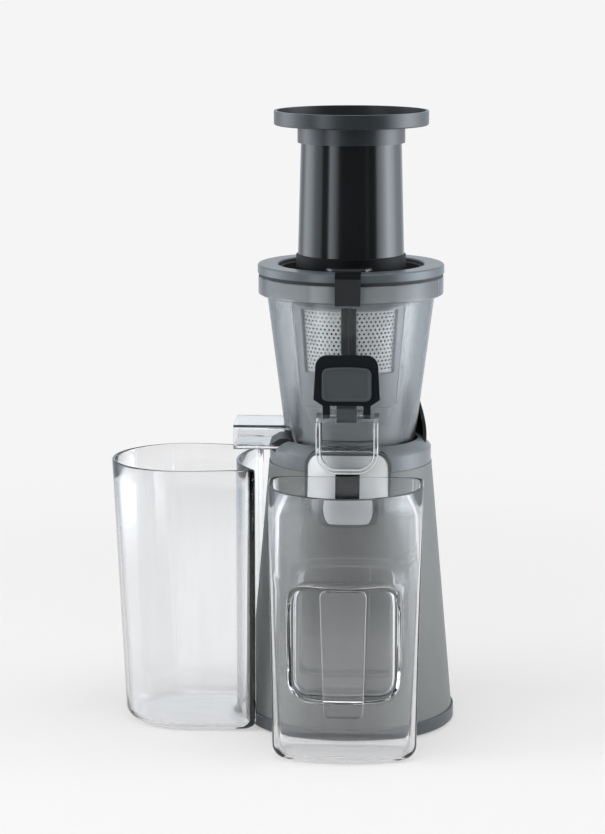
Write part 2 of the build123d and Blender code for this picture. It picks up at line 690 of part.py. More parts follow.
# ---------------------------------------------------------------- control plate and rocker
def rocker_slot(grow):
    """Slot in the plate: as tall as the rocker's round ends are at the plate's back."""
    half = ROCKER_HALF_WIDTH + ROCKER_GAP + grow
    ahead = sqrt((BODY_TOP_R + PLATE_STANDOFF) ** 2 - half**2) + ROCKER_PIVOT_Y
    tall = sqrt((ROCKER_R + ROCKER_GAP) ** 2 - ahead**2) + grow
    return block(-half, half, -FOOT_R, ROCKER_PIVOT_Y, ROCKER_Z - tall, ROCKER_Z + tall)


def make_control_plate():
    skin = body_layer(PLATE_STANDOFF, PLATE_STANDOFF + PLATE_THICK, PLATE_BOTTOM - 5, PLATE_TOP + 5)
    return (skin & plate_prism(0)) - rocker_slot(0)


def make_plate_surround():
    top = PLATE_STANDOFF + SURROUND_THICK
    skin = body_layer(PLATE_STANDOFF, top, PLATE_BOTTOM - 5, PLATE_TOP + 5)
    return (skin & plate_prism(SURROUND_WIDTH)) - plate_prism(SNUG)


def switch_body(grow, front_y=SWITCH_FRONT_Y):
    """Outer block of the switch behind the plate."""
    half = ROCKER_HALF_WIDTH + ROCKER_GAP + SWITCH_WALL + grow
    tall = ROCKER_R + ROCKER_GAP + SWITCH_WALL + grow
    back = SWITCH_FRONT_Y + SWITCH_DEPTH + grow
    return block(-half, half, front_y, back, ROCKER_Z - tall, ROCKER_Z + tall)


def rocker_bore(radius, half_length):
    pin = Rot(0, 90, 0) * Cylinder(radius, 2 * half_length)
    return Pos(0, ROCKER_PIVOT_Y, ROCKER_Z) * pin


def make_switch_housing():
    half = ROCKER_HALF_WIDTH + ROCKER_GAP
    cavity = rocker_bore(ROCKER_R + ROCKER_GAP, half)
    return switch_body(0) - cavity - rocker_bore(ROCKER_PIN_R + RUN_FIT, half + ROCKER_PIN_LENGTH)


def make_rocker_button():
    end = sqrt(ROCKER_R**2 - (ROCKER_FACE + ROCKER_DISH) ** 2)
    back = sqrt(ROCKER_R**2 - ROCKER_BACK**2)
    face = ThreePointArc(
        (-ROCKER_FACE - ROCKER_DISH, end),
        (-ROCKER_FACE, 0),
        (-ROCKER_FACE - ROCKER_DISH, -end),
    )
    lower = ThreePointArc(face @ 1, (0, -ROCKER_R), (ROCKER_BACK, -back))
    rear = Line(lower @ 1, (ROCKER_BACK, back))
    upper = ThreePointArc(rear @ 1, (0, ROCKER_R), face @ 0)
    profile = Pos(ROCKER_PIVOT_Y, ROCKER_Z) * make_face(face + lower + rear + upper)
    button = across(profile, ROCKER_HALF_WIDTH)
    reach = ROCKER_HALF_WIDTH + ROCKER_GAP + ROCKER_PIN_LENGTH - SEAT_GAP
    return button + rocker_bore(ROCKER_PIN_R, reach)


# ---------------------------------------------------------------- mains gland
def gland_bore(radius, reach=GLAND_REACH):
    bore = Rot(90, 0, 0) * Cylinder(radius, reach)
    return Pos(0, body_radius(GLAND_Z) - BODY_WALL / 2, GLAND_Z) * bore


def make_mains_gland():
    outside = body_radius(GLAND_Z - GLAND_FLANGE_R) + SNUG
    inside = body_radius(GLAND_Z + GLAND_FLANGE_R) - BODY_WALL - GLAND_NUT_GAP
    flange = Rot(90, 0, 0) * Cylinder(GLAND_FLANGE_R, GLAND_FLANGE_THICK)
    gland = Pos(0, outside + GLAND_FLANGE_THICK / 2, GLAND_Z) * flange
    neck = Rot(90, 0, 0) * Cylinder(GLAND_R, outside - inside)
    gland += Pos(0, (outside + inside) / 2, GLAND_Z) * neck
    half_nut = GLAND_NUT_THICK / 2
    nut = Rot(90, 0, 0) * extrude(RegularPolygon(GLAND_FLANGE_R, 6), amount=half_nut, both=True)
    gland += Pos(0, inside - half_nut, GLAND_Z) * nut
    return gland - gland_bore(GLAND_BORE_R, 4 * GLAND_REACH)


# ---------------------------------------------------------------- drive train
FAST_CENTRES = MODULE_FAST * (PINION_TEETH + FAST_WHEEL_TEETH) / 2
SLOW_CENTRES = MODULE_SLOW * (SLOW_PINION_TEETH + SLOW_WHEEL_TEETH) / 2
IDLER_Y = SLOW_CENTRES
MOTOR_Y = IDLER_Y - FAST_CENTRES
FAST_GEAR_Z = GEARBOX_BOTTOM + GEARBOX_FLOOR + GEAR_FLOOR_GAP
FAST_GEAR_TOP = FAST_GEAR_Z + GEAR_FACE_FAST
SLOW_GEAR_Z = BULKHEAD_BOTTOM + BULKHEAD_THICK + GEAR_SHELF_GAP
SLOW_GEAR_TOP = SLOW_GEAR_Z + GEAR_FACE_SLOW
COVER_TOP = GEARBOX_TOP + GEARBOX_COVER_THICK
SHAFT_STEP_R = MOTOR_SHAFT_R * 0.75  # the motor shaft where its pinion is pressed on


def involute_point(base_r, radius, side, turn):
    """Point of an involute flank at a radius, turned about the gear's centre."""
    roll = sqrt(max((radius / base_r) ** 2 - 1, 0.0))
    angle = turn + side * (roll - atan(roll))
    return radius * cos(angle), radius * sin(angle)


def gear_face(module, teeth, phase):
    """Spur gear outline: each flank is two chords of its involute."""
    pitch_r = module * teeth / 2
    tip_r, root_r = pitch_r + ADDENDUM * module, pitch_r - DEDENDUM * module
    base_r = pitch_r * cos(radians(PRESSURE_ANGLE))
    flank_at_pitch = tan(radians(PRESSURE_ANGLE)) - radians(PRESSURE_ANGLE)
    half_tooth = pi / (2 * teeth) * (1 - TOOTH_THINNING) + flank_at_pitch
    low_r = max(base_r, root_r)
    outline = []
    for k in range(teeth):
        middle = 2 * pi * (k + phase) / teeth
        for side in (1, -1):
            turn = middle - side * half_tooth
            flank = [involute_point(base_r, r, side, turn) for r in (low_r, pitch_r, tip_r)]
            foot = (root_r * cos(turn), root_r * sin(turn))
            points = [foot] + flank if low_r > root_r else flank
            outline += points if side == 1 else points[::-1]
    return make_face(Polyline(*outline, close=True))


def make_motor_pinion():
    face = gear_face(MODULE_FAST, PINION_TEETH, 0.0)
    pinion = Pos(0, MOTOR_Y) * Rot(0, 0, 90) * upright(face, FAST_GEAR_Z, FAST_GEAR_TOP)
    return pinion - rod(SHAFT_STEP_R + PRESSED, FAST_GEAR_Z - 1, FAST_GEAR_TOP + 1, 0, MOTOR_Y)


def make_idler_gear():
    wheel = gear_face(MODULE_FAST, FAST_WHEEL_TEETH, 0.5)
    small = gear_face(MODULE_SLOW, SLOW_PINION_TEETH, 0.0)
    gear = Rot(0, 0, -90) * upright(wheel, FAST_GEAR_Z, FAST_GEAR_TOP)
    gear += Rot(0, 0, -90) * upright(small, FAST_GEAR_TOP, SLOW_GEAR_TOP)
    gear -= rod(IDLER_PIN_R + RUN_FIT, GEARBOX_BOTTOM, GEARBOX_TOP)
    return Pos(0, IDLER_Y) * gear


def make_output_gear():
    face = gear_face(MODULE_SLOW, SLOW_WHEEL_TEETH, 0.5)
    gear = Rot(0, 0, 90) * upright(face, SLOW_GEAR_Z, SLOW_GEAR_TOP)
    return gear - rod(DRIVE_SHAFT_R, SLOW_GEAR_Z - 1, SLOW_GEAR_TOP + 1)


def make_idler_pin():
    return rod(IDLER_PIN_R, GEARBOX_BOTTOM + 1, GEARBOX_TOP + 1, 0, IDLER_Y)


def make_drive_shaft():
    hex_bottom = BOWL_HUB_TOP + SEAT_GAP
    shaft = rod(STUB_R, BULKHEAD_BOTTOM + SEAT_GAP, SLOW_GEAR_Z)
    shaft += rod(DRIVE_SHAFT_R - PRESSED, SLOW_GEAR_Z, hex_bottom)
    shaft += upright(hexagon(DRIVE_HEX_AF), hex_bottom, DRIVE_HEX_TOP)
    return chamfer(shaft.faces().sort_by(Axis.Z)[-1].edges(), HEX_CHAMFER)


def hexagon(across_flats):
    return RegularPolygon(across_flats / 2, 6, major_radius=False)


def gearbox_outline(margin):
    """Belt-shaped outline that encloses the two gear centres."""
    front = MODULE_SLOW * (SLOW_WHEEL_TEETH + 2) / 2 + margin
    back = MODULE_FAST * (FAST_WHEEL_TEETH + 2) / 2 + margin
    circles = [Edge.make_circle(front), Pos(0, IDLER_Y) * Edge.make_circle(back)]
    return make_hull(circles)


def make_gearbox_housing():
    inner, outer = GEARBOX_MARGIN, GEARBOX_MARGIN + GEARBOX_WALL
    case = upright(gearbox_outline(outer), GEARBOX_BOTTOM, GEARBOX_TOP)
    case -= upright(gearbox_outline(inner), GEARBOX_BOTTOM + GEARBOX_FLOOR, GEARBOX_TOP + 1)
    case -= rod(MOTOR_BEARING_R, GEARBOX_BOTTOM - 1, GEARBOX_BOTTOM + GEARBOX_FLOOR + 1, 0, MOTOR_Y)
    return case - rod(IDLER_PIN_R + PRESSED, GEARBOX_BOTTOM + 1, GEARBOX_TOP, 0, IDLER_Y)


def make_gearbox_bulkhead():
    """Shelf between the two gear stages that holds the stub of the drive shaft."""
    outline = gearbox_outline(GEARBOX_MARGIN - SNUG)
    shelf = upright(outline, BULKHEAD_BOTTOM, BULKHEAD_BOTTOM + BULKHEAD_THICK)
    shelf -= rod(STUB_R + RUN_FIT, BULKHEAD_BOTTOM - 1, GEARBOX_TOP)
    room = MODULE_SLOW * (SLOW_PINION_TEETH + 2) / 2 + GEAR_SHELF_GAP
    return shelf - rod(room, BULKHEAD_BOTTOM - 1, GEARBOX_TOP, 0, IDLER_Y)


def make_gearbox_cover():
    cover = rod(GEARBOX_COVER_R, GEARBOX_TOP, COVER_TOP)
    cover += rod(BEARING_OUTER_R + BEARING_BOSS, COVER_TOP, COVER_TOP + BEARING_HEIGHT)
    cover -= rod(BEARING_OUTER_R + SNUG, COVER_TOP, COVER_TOP + BEARING_HEIGHT + 1)
    cover -= rod(DRIVE_SHAFT_R + 1, GEARBOX_TOP - 1, COVER_TOP + 1)
    return cover - rod(IDLER_PIN_R + PRESSED, GEARBOX_TOP - 1, GEARBOX_TOP + 1, 0, IDLER_Y)


def make_shaft_bearing():
    """Ball bearing in the cover's boss, drawn closed by its shields."""
    top = COVER_TOP + BEARING_HEIGHT
    bearing = tube(BEARING_OUTER_R, DRIVE_SHAFT_R + RUN_FIT, COVER_TOP, top)
    groove = tube(BEARING_OUTER_R - BEARING_RACE, DRIVE_SHAFT_R + BEARING_RACE, top - BEARING_GROOVE, top + 1)
    return bearing - groove


def make_shaft_seal():
    """Lip seal where the drive shaft leaves the base."""
    low = SEAT_FLOOR - SEAT_THICK
    seal = tube(SEAL_OUTER_R, DRIVE_SHAFT_R + RUN_FIT, low, SEAT_FLOOR - SEAL_DROP)
    roof = SEAT_FLOOR - SEAL_DROP - SEAL_WALL
    return seal - tube(SEAL_OUTER_R - SEAL_WALL, DRIVE_SHAFT_R + SEAL_WALL, low - 1, roof)


# ---------------------------------------------------------------- motor
MAGNET_OUTER_R = MOTOR_R - MOTOR_WALL - SNUG
ARMATURE_R = MAGNET_OUTER_R - MAGNET_THICK - AIR_GAP
ARMATURE_LOW = MOTOR_BOTTOM + ARMATURE_START
ARMATURE_HIGH = GEARBOX_BOTTOM - ARMATURE_END


def make_motor_can():
    can = rod(MOTOR_R, MOTOR_BOTTOM, GEARBOX_BOTTOM, 0, MOTOR_Y)
    can -= rod(MOTOR_R - MOTOR_WALL, MOTOR_BOTTOM - 1, GEARBOX_BOTTOM - MOTOR_WALL, 0, MOTOR_Y)
    return can - rod(MOTOR_SHAFT_R + RUN_FIT, MOTOR_BOTTOM, GEARBOX_BOTTOM + 1, 0, MOTOR_Y)


def make_motor_end_cap():
    low, top = MOTOR_BOTTOM - MOTOR_CAP_BOSS, MOTOR_BOTTOM + MOTOR_CAP_THICK
    near, far, half = MOTOR_WINDOW
    cap = rod(MAGNET_OUTER_R, MOTOR_BOTTOM, top)
    cap += rod(MOTOR_BEARING_R, low, MOTOR_BOTTOM)
    cap -= rod(MOTOR_SHAFT_R + RUN_FIT, low - 1, top + 1)
    window = block(near, far, -half, half, MOTOR_BOTTOM - 1, top + 1)
    for copy in around(window, MOTOR_CAP_WINDOWS, 45):
        cap -= copy
    return Pos(0, MOTOR_Y) * cap


def make_magnets():
    """Two arc magnets against the inside of the can."""
    low, high = ARMATURE_LOW - MAGNET_OVERHANG, ARMATURE_HIGH + MAGNET_OVERHANG
    ring = tube(MAGNET_OUTER_R, MAGNET_OUTER_R - MAGNET_THICK, low, high)
    half_gap = MAGNET_OUTER_R * cos(radians(MAGNET_ANGLE / 2))
    ring -= block(-MOTOR_R, MOTOR_R, -half_gap, half_gap, low - 1, high + 1)
    return Pos(0, MOTOR_Y) * ring


def make_armature():
    core = rod(ARMATURE_R, ARMATURE_LOW, ARMATURE_HIGH)
    bottom, half = ARMATURE_R - ARMATURE_SLOT_DEPTH, ARMATURE_SLOT_WIDTH / 2
    slot = block(bottom, ARMATURE_R + 1, -half, half, ARMATURE_LOW - 1, ARMATURE_HIGH + 1)
    for copy in around(slot, ARMATURE_SLOTS):
        core -= copy
    core -= rod(MOTOR_SHAFT_R, ARMATURE_LOW - 1, ARMATURE_HIGH + 1)
    return Pos(0, MOTOR_Y) * core


def make_motor_shaft():
    shaft = rod(MOTOR_SHAFT_R - PRESSED, MOTOR_BOTTOM - MOTOR_CAP_BOSS + 1, FAST_GEAR_Z - SEAT_GAP)
    shaft += rod(SHAFT_STEP_R, FAST_GEAR_Z - SEAT_GAP, FAST_GEAR_TOP)
    low = ARMATURE_LOW - COMMUTATOR_HEIGHT - COMMUTATOR_GAP
    shaft += rod(COMMUTATOR_R, low, low + COMMUTATOR_HEIGHT)
    return Pos(0, MOTOR_Y) * shaft


def make_cooling_fan():
    """Fan on the motor shaft, between the end cap and the commutator."""
    low = MOTOR_BOTTOM + MOTOR_CAP_THICK + FAN_GAP
    top = low + FAN_HEIGHT
    fan = rod(FAN_HUB_R, low, top) + rod(FAN_R, low, low + FAN_SHEET)
    blade = block(FAN_HUB_R - 1, FAN_R - 1, -FAN_SHEET / 2, FAN_SHEET / 2, low, top)
    for copy in around(blade, FAN_BLADES):
        fan += copy
    return Pos(0, MOTOR_Y) * (fan - rod(MOTOR_SHAFT_R, low - 1, top + 1))


# ---------------------------------------------------------------- juice bowl
def spout_front(inset):
    """U-shaped front of the spout, inset by its wall."""
    half = SPOUT_HALF_WIDTH - inset
    low = SPOUT_BOTTOM + inset
    high = SPOUT_TOP - (SPOUT_ROOF if inset else 0)
    outline = Pos(0, (low + high) / 2) * Rectangle(2 * half, high - low)
    lower = outline.vertices().group_by(Axis.Y)[0]
    return fillet(lower, SPOUT_CORNER_R - inset)


def spout_side(drop):
    """Side view of the spout: its underside rises over the collar behind the mouth."""
    low = SPOUT_BOTTOM - 1 + drop
    neck = SPOUT_NECK_BOTTOM + drop
    lip = SPOUT_LIP_Y - drop
    underside = Spline((lip, low), (lip + SPOUT_NECK_RUN, neck), tangents=((0.6, 1.0), (1.0, 0.0)))
    rest = Polyline(
        underside @ 1,
        (SPOUT_ROOT_Y, neck),
        (SPOUT_ROOT_Y, SPOUT_TOP + 1),
        (SPOUT_FACE_Y, SPOUT_TOP + 1),
        (SPOUT_FACE_Y, low),
        underside @ 0,
    )
    return make_face(underside + rest)


def spout_block():
    return facing(spout_front(0), 0, SPOUT_FACE_Y) & across(spout_side(0), SPOUT_HALF_WIDTH + 1)


def spout_channel():
    """Free passage through the spout, from inside the bowl to its mouth."""
    passage = facing(spout_front(SPOUT_WALL), 0, SPOUT_FACE_Y - 1)
    clear = across(spout_side(SPOUT_WALL), SPOUT_HALF_WIDTH + 1)
    mouth = block(-FOOT_R, FOOT_R, SPOUT_FACE_Y - 1, SPOUT_FACE_Y + EDGE_BREAK, 0, SPOUT_TOP + 1)
    return passage & (clear + mouth)


def saddle():
    """Flared shoulder that blends the spout into the bowl's side."""
    half = SPOUT_HALF_WIDTH
    low, high = SADDLE_BOTTOM, SADDLE_TOP
    left = Spline((-SADDLE_HALF_WIDTH, high), (-half, low), tangents=((0.3, -1.0), (0.5, -1.0)))
    right = Spline((half, low), (SADDLE_HALF_WIDTH, high), tangents=((0.5, 1.0), (0.3, 1.0)))
    outline = left + Line(left @ 1, right @ 0) + right + Line(right @ 1, left @ 0)
    skin = turned(
        (0, low),
        (bowl_radius(low) + SADDLE_PROUD_LOW, low),
        (bowl_radius(high) + SADDLE_PROUD_HIGH, high),
        (0, high),
    )
    return skin & facing(make_face(outline), 0, -FOOT_R)


def chute_box(inset, x0, x1):
    half = CHUTE_HALF_WIDTH - inset
    low, high = CHUTE_BOTTOM + inset, CHUTE_TOP - inset
    outline = RectangleRounded(2 * half, high - low, CHUTE_CORNER_R - inset / 2)
    placed = Plane.YZ * Pos(0, (low + high) / 2) * outline
    return Pos(x0, 0, 0) * extrude(placed, amount=x1 - x0)


def bowl_outer():
    round_in, round_down = BOWL_CORNER_ROUND
    return turned(
        (0, BOWL_BOTTOM),
        (BOWL_FOOT_R, BOWL_BOTTOM),
        (BOWL_CORNER_R - round_in, BOWL_CORNER_Z - round_down),
        (BOWL_CORNER_R, BOWL_CORNER_Z),
        (BOWL_SHOULDER_R, BOWL_SHOULDER_Z),
        (BOWL_RIM_R - EDGE_BREAK, BOWL_SHOULDER_Z),
        (BOWL_RIM_R, BOWL_SHOULDER_Z + EDGE_BREAK),
        (BOWL_RIM_R, BOWL_RIM_TOP),
        (0, BOWL_RIM_TOP),
    )


def bowl_inner():
    floor = BOWL_BOTTOM + BOWL_FLOOR_THICK
    step = BOWL_SHOULDER_Z + BOWL_WALL
    corner = floor + BOWL_WALL
    return turned(
        (0, floor),
        (BOWL_CORNER_R - 1.5 * BOWL_WALL, floor),
        (bowl_radius(corner) - BOWL_WALL, corner),
        (BOWL_SHOULDER_R - BOWL_WALL, step),
        (BOWL_RIM_R - BOWL_WALL, step),
        (BOWL_RIM_R - BOWL_WALL, BOWL_RIM_TOP + 1),
        (0, BOWL_RIM_TOP + 1),
    )


def front_panel():
    """Slightly raised panel down the front of the bowl."""
    low, high = PANEL_BOTTOM, BOWL_SHOULDER_Z
    skin = turned(
        (bowl_radius(low) - 1, low),
        (bowl_radius(low) + PANEL_THICK, low),
        (bowl_radius(high) + PANEL_THICK, high),
        (bowl_radius(high) - 1, high),
    )
    outline = Polyline(
        (-PANEL_HALF_TOP, high),
        (-PANEL_HALF_BOTTOM, low),
        (PANEL_HALF_BOTTOM, low),
        (PANEL_HALF_TOP, high),
        close=True,
    )
    return skin & facing(make_face(outline), 0, -FOOT_R)


def hinge_lug(inner, outer):
    """One ear of the cap's hinge on the roof of the spout."""
    hinge_y = SPOUT_FACE_Y - CAP_HINGE_AHEAD
    foot = SPOUT_TOP - SPOUT_ROOF
    profile = Pos(hinge_y, CAP_HINGE_Z) * Circle(CAP_BARREL_R)
    web = Polyline(
        (hinge_y, CAP_HINGE_Z - CAP_BARREL_R),
        (SPOUT_FACE_Y, CAP_HINGE_Z - CAP_BARREL_R),
        (SPOUT_FACE_Y, foot),
        (SPOUT_FACE_Y + LUG_LENGTH, foot),
        (SPOUT_FACE_Y + LUG_LENGTH * 2 / 3, SPOUT_TOP + LUG_RISE),
        (hinge_y, CAP_HINGE_Z + CAP_BARREL_R),
        close=True,
    )
    lug = extrude(Plane.YZ * (profile + make_face(web)), amount=outer - inner)
    return Pos(inner, 0, 0) * lug


def cap_pin(radius, half_length):
    pin = Rot(0, 90, 0) * Cylinder(radius, 2 * half_length)
    return Pos(0, SPOUT_FACE_Y - CAP_HINGE_AHEAD, CAP_HINGE_Z) * pin


def make_juice_bowl():
    bowl = bowl_outer() + front_panel() + spout_block() + saddle()
    bowl += chute_box(0, CHUTE_END_X, CHUTE_ROOT_X)
    half = RIM_RIB_HALF_PITCH
    for x in (-half, half):
        bowl += block(
            x - RIM_RIB_WIDTH / 2, x + RIM_RIB_WIDTH / 2,
            -BOWL_RIM_R - RIM_RIB_PROUD, -BOWL_RIM_R + BOWL_WALL, RIM_RIB_BOTTOM, BOWL_RIM_TOP,
        )
    bowl -= bowl_inner()
    bowl -= spout_channel()
    bowl -= chute_box(CHUTE_WALL, CHUTE_END_X - 1, CHUTE_ROOT_X)
    bowl += rod(BOWL_HUB_R, BOWL_BOTTOM, BOWL_HUB_TOP)
    bowl -= rod(BOWL_HUB_BORE_R, BOWL_BOTTOM - 1, BOWL_HUB_TOP + 1)
    for side in (-1, 1):
        ear = sorted((side * LUG_INNER, side * (CAP_EAR_INNER - SEAT_GAP)))
        bowl += hinge_lug(*ear)
    return bowl - cap_pin(CAP_PIN_R, FOOT_R)


def make_bowl_gasket():
    """Silicone ring in the hub that wipes the drive shaft."""
    inner = DRIVE_SHAFT_R + SEAT_GAP
    outer = BOWL_HUB_BORE_R - SNUG
    low, high = BOWL_BOTTOM + SEAL_DROP, BOWL_HUB_TOP - SEAL_WALL
    relieved = inner + SEAL_WALL
    return turned(
        (relieved, low),
        (outer, low),
        (outer, high),
        (inner, high),
        (inner, high - SEAL_WALL),
        (relieved, high - 3 * SEAL_WALL),
    )


def make_pulp_plug():
    """Silicone tongue that closes the underside of the chute's root."""
    half = CHUTE_HALF_WIDTH - CHUTE_WALL - CHUTE_CORNER_R
    floor = CHUTE_BOTTOM + CHUTE_WALL + SNUG
    top = floor + PULP_PLUG_THICK
    wedge = Polyline(
        (PULP_PLUG_TIP_X, floor),
        (PULP_PLUG_TIP_X + PULP_PLUG_RAMP, top),
        (PULP_PLUG_ROOT_X, top),
        (PULP_PLUG_ROOT_X, floor),
        close=True,
    )
    return extrude(Plane.XZ * make_face(wedge), amount=half, both=True)


# ---------------------------------------------------------------- drip cap
def make_cap_pin():
    return cap_pin(CAP_PIN_R - PRESSED, CAP_EAR_OUTER)


def make_hinge_bumper():
    """Silicone block on the pin between the lugs, which stays inside the swing of the cap."""
    hinge_y = SPOUT_FACE_Y - CAP_HINGE_AHEAD
    front, bevel = -BUMPER_FRONT, BUMPER_BEVEL
    wall = CAP_HINGE_AHEAD - SNUG
    roof = SPOUT_TOP + SNUG - CAP_HINGE_Z
    profile = Polyline(
        (front, bevel - BUMPER_TOP),
        (front, BUMPER_TOP - bevel),
        (front + bevel, BUMPER_TOP),
        (bevel, BUMPER_TOP),
        (BUMPER_HEEL, roof),
        (wall, roof),
        (wall, -BUMPER_DROP),
        (front + bevel, -BUMPER_DROP),
        close=True,
    )
    bumper = across(Pos(hinge_y, CAP_HINGE_Z) * make_face(profile), LUG_INNER - BUMPER_SIDE_GAP)
    return bumper - cap_pin(CAP_PIN_R, FOOT_R)


def make_drip_cap():
    hinge_y = SPOUT_FACE_Y - CAP_HINGE_AHEAD
    front = hinge_y - CAP_HINGE_AHEAD + SEAT_GAP
    chamfer_top = CAP_BOTTOM + CAP_CHAMFER
    outline = Polyline(
        (-CAP_HALF_TOP, CAP_TOP),
        (-CAP_HALF_BOTTOM, chamfer_top),
        (-CAP_EAR_OUTER, CAP_BOTTOM),
        (CAP_EAR_OUTER, CAP_BOTTOM),
        (CAP_HALF_BOTTOM, chamfer_top),
        (CAP_HALF_TOP, CAP_TOP),
        close=True,
    )
    panel = make_face(outline)
    panel = fillet(panel.vertices().group_by(Axis.Y)[-1], CAP_CORNER_R)
    cap = facing(panel, front + CAP_THICK, front)
    for side in (-1, 1):
        near, far = sorted((side * CAP_EAR_INNER, side * CAP_EAR_OUTER))
        ear = Rot(0, 90, 0) * Cylinder(CAP_BARREL_R, far - near)
        barrel = Pos((near + far) / 2, hinge_y, CAP_HINGE_Z) * ear
        arm = block(near, far, front, front + CAP_THICK, CAP_HINGE_Z, CAP_BOTTOM + 1)
        cap += barrel + arm
    return cap - cap_pin(CAP_PIN_R + RUN_FIT, FOOT_R)


def make_cap_seal():
    """Raised silicone pad that fills the spout's mouth when the cap is shut."""
    hinge_y = SPOUT_FACE_Y - CAP_HINGE_AHEAD
    back = hinge_y - CAP_HINGE_AHEAD + SEAT_GAP
    half, shoulder = PLUG_HALF_WIDTH, PLUG_TOP - PLUG_CROWN
    crown = ThreePointArc((-half, shoulder), (0, PLUG_TOP), (half, shoulder))
    sides = Polyline(crown @ 1, (half, PLUG_BOTTOM), (-half, PLUG_BOTTOM), crown @ 0)
    pad = make_face(crown + sides)
    pad = fillet(pad.vertices(), PLUG_CORNER_R)
    return facing(pad, back, back - PLUG_PROUD)


# ---------------------------------------------------------------- strainer
def make_strainer_frame():
    low, mid, high = STRAINER_BOTTOM, STRAINER_MESH_BOTTOM, STRAINER_MESH_TOP
    r_low, r_high = STRAINER_LOW_R, STRAINER_HIGH_R
    rib, band = STRAINER_RIB_THICK, STRAINER_BAND_THICK
    rim_low = BOWL_SHOULDER_Z + BOWL_WALL + SEAT_GAP
    rim_r = BOWL_RIM_R - BOWL_WALL - STRAINER_RIM_GAP
    cage = turned(
        (r_low, low),
        (r_low + band, low),
        (r_low + band, mid),
        (r_low + rib, mid),
        (r_high + rib, high),
        (BOWL_SHOULDER_R - 1.5 * BOWL_WALL, rim_low),
        (rim_r, rim_low),
        (rim_r, STRAINER_RIM_TOP),
        (r_high + 2 * rib, STRAINER_RIM_TOP),
        (r_high, high + rib),
        (r_high, high),
        (r_low, mid),
    )
    for copy in around(strainer_window(), STRAINER_WINDOWS, -90 + 180 / STRAINER_WINDOWS):
        cage -= copy
    half = PULP_WINDOW_HALF
    return cage - block(-FOOT_R, 0, -half, half, low + PULP_WINDOW_SILL, PULP_WINDOW_TOP)


def strainer_window():
    """One window between two ribs, as a wedge whose sides leave the ribs parallel."""
    below, above = STRAINER_WINDOW_MARGINS
    arc = pi / STRAINER_WINDOWS
    start = STRAINER_RIB_WIDTH / 2 / sin(arc)
    far, side = start + FOOT_R * cos(arc), FOOT_R * sin(arc)
    wedge = make_face(Polyline((start, 0), (far, side), (far, -side), close=True))
    return upright(wedge, STRAINER_MESH_BOTTOM + below, STRAINER_MESH_TOP - above)


def make_strainer_mesh():
    low, mid, high = STRAINER_MESH_BOTTOM - MESH_HEM, STRAINER_MESH_BOTTOM, STRAINER_MESH_TOP
    low_r, high_r = STRAINER_LOW_R - SNUG, STRAINER_HIGH_R - SNUG
    return turned(
        (low_r, low),
        (low_r, mid),
        (high_r, high),
        (high_r - MESH_THICK, high),
        (low_r - MESH_THICK, mid),
        (low_r - MESH_THICK, low),
    )


def make_strainer_strip():
    """Silicone strip glued along the front rib, between two windows."""
    below, above = STRAINER_WINDOW_MARGINS
    low, high = STRAINER_MESH_BOTTOM + below, STRAINER_MESH_TOP - above
    near, far = STRAINER_RIB_THICK + SNUG, STRAINER_RIB_THICK + SNUG + STRIP_THICK
    skin = turned(
        (strainer_radius(low) + near, low),
        (strainer_radius(low) + far, low),
        (strainer_radius(high) + far, high),
        (strainer_radius(high) + near, high),
    )
    return skin & block(-STRIP_WIDTH / 2, STRIP_WIDTH / 2, -FOOT_R, 0, low, high)


# ---------------------------------------------------------------- screw
def make_auger():
    reach_low = STRAINER_LOW_R - MESH_THICK - SNUG - SCREW_TIP_GAP
    reach_high = strainer_radius(FLIGHT_TOP) - MESH_THICK - SNUG - SCREW_TIP_GAP
    disc_r = reach_low - 1
    core = turned(
        (0, AUGER_BOTTOM),
        (disc_r - AUGER_DISC_CHAMFER, AUGER_BOTTOM),
        (disc_r, AUGER_BOTTOM + AUGER_DISC_CHAMFER),
        (disc_r, AUGER_DISC_TOP - AUGER_DISC_CHAMFER),
        (AUGER_CORE_LOW_R, AUGER_DISC_TOP),
        (AUGER_CORE_HIGH_R, AUGER_TOP - AUGER_NOSE_LENGTH),
        (AUGER_NOSE_R, AUGER_TOP - AUGER_NOSE_ROUND),
        (AUGER_NOSE_R - AUGER_NOSE_ROUND, AUGER_TOP),
        (0, AUGER_TOP),
    )
    height = FLIGHT_TOP - FLIGHT_BOTTOM
    cone = degrees(atan((reach_high - reach_low) / height))
    path = Helix(AUGER_PITCH, height, reach_low, center=(0, 0, FLIGHT_BOTTOM), cone_angle=cone)
    tip, root = FLIGHT_TIP_THICK / 2, FLIGHT_ROOT_THICK / 2
    section = Polyline(
        (reach_low, FLIGHT_BOTTOM - tip),
        (reach_low, FLIGHT_BOTTOM + tip),
        (reach_low - FLIGHT_DEPTH, FLIGHT_BOTTOM + root),
        (reach_low - FLIGHT_DEPTH, FLIGHT_BOTTOM - root),
        close=True,
    )
    flight = sweep(Plane.XZ * make_face(section), path, is_frenet=True)
    for copy in around(flight, AUGER_STARTS):
        core += copy
    core -= rod(BOWL_HUB_R + AUGER_HUB_GAP, AUGER_BOTTOM - 1, BOWL_HUB_TOP + AUGER_HUB_GAP)
    return core - upright(hexagon(DRIVE_HEX_AF + 2 * FLAT_FIT), AUGER_BOTTOM - 1, SOCKET_TOP)


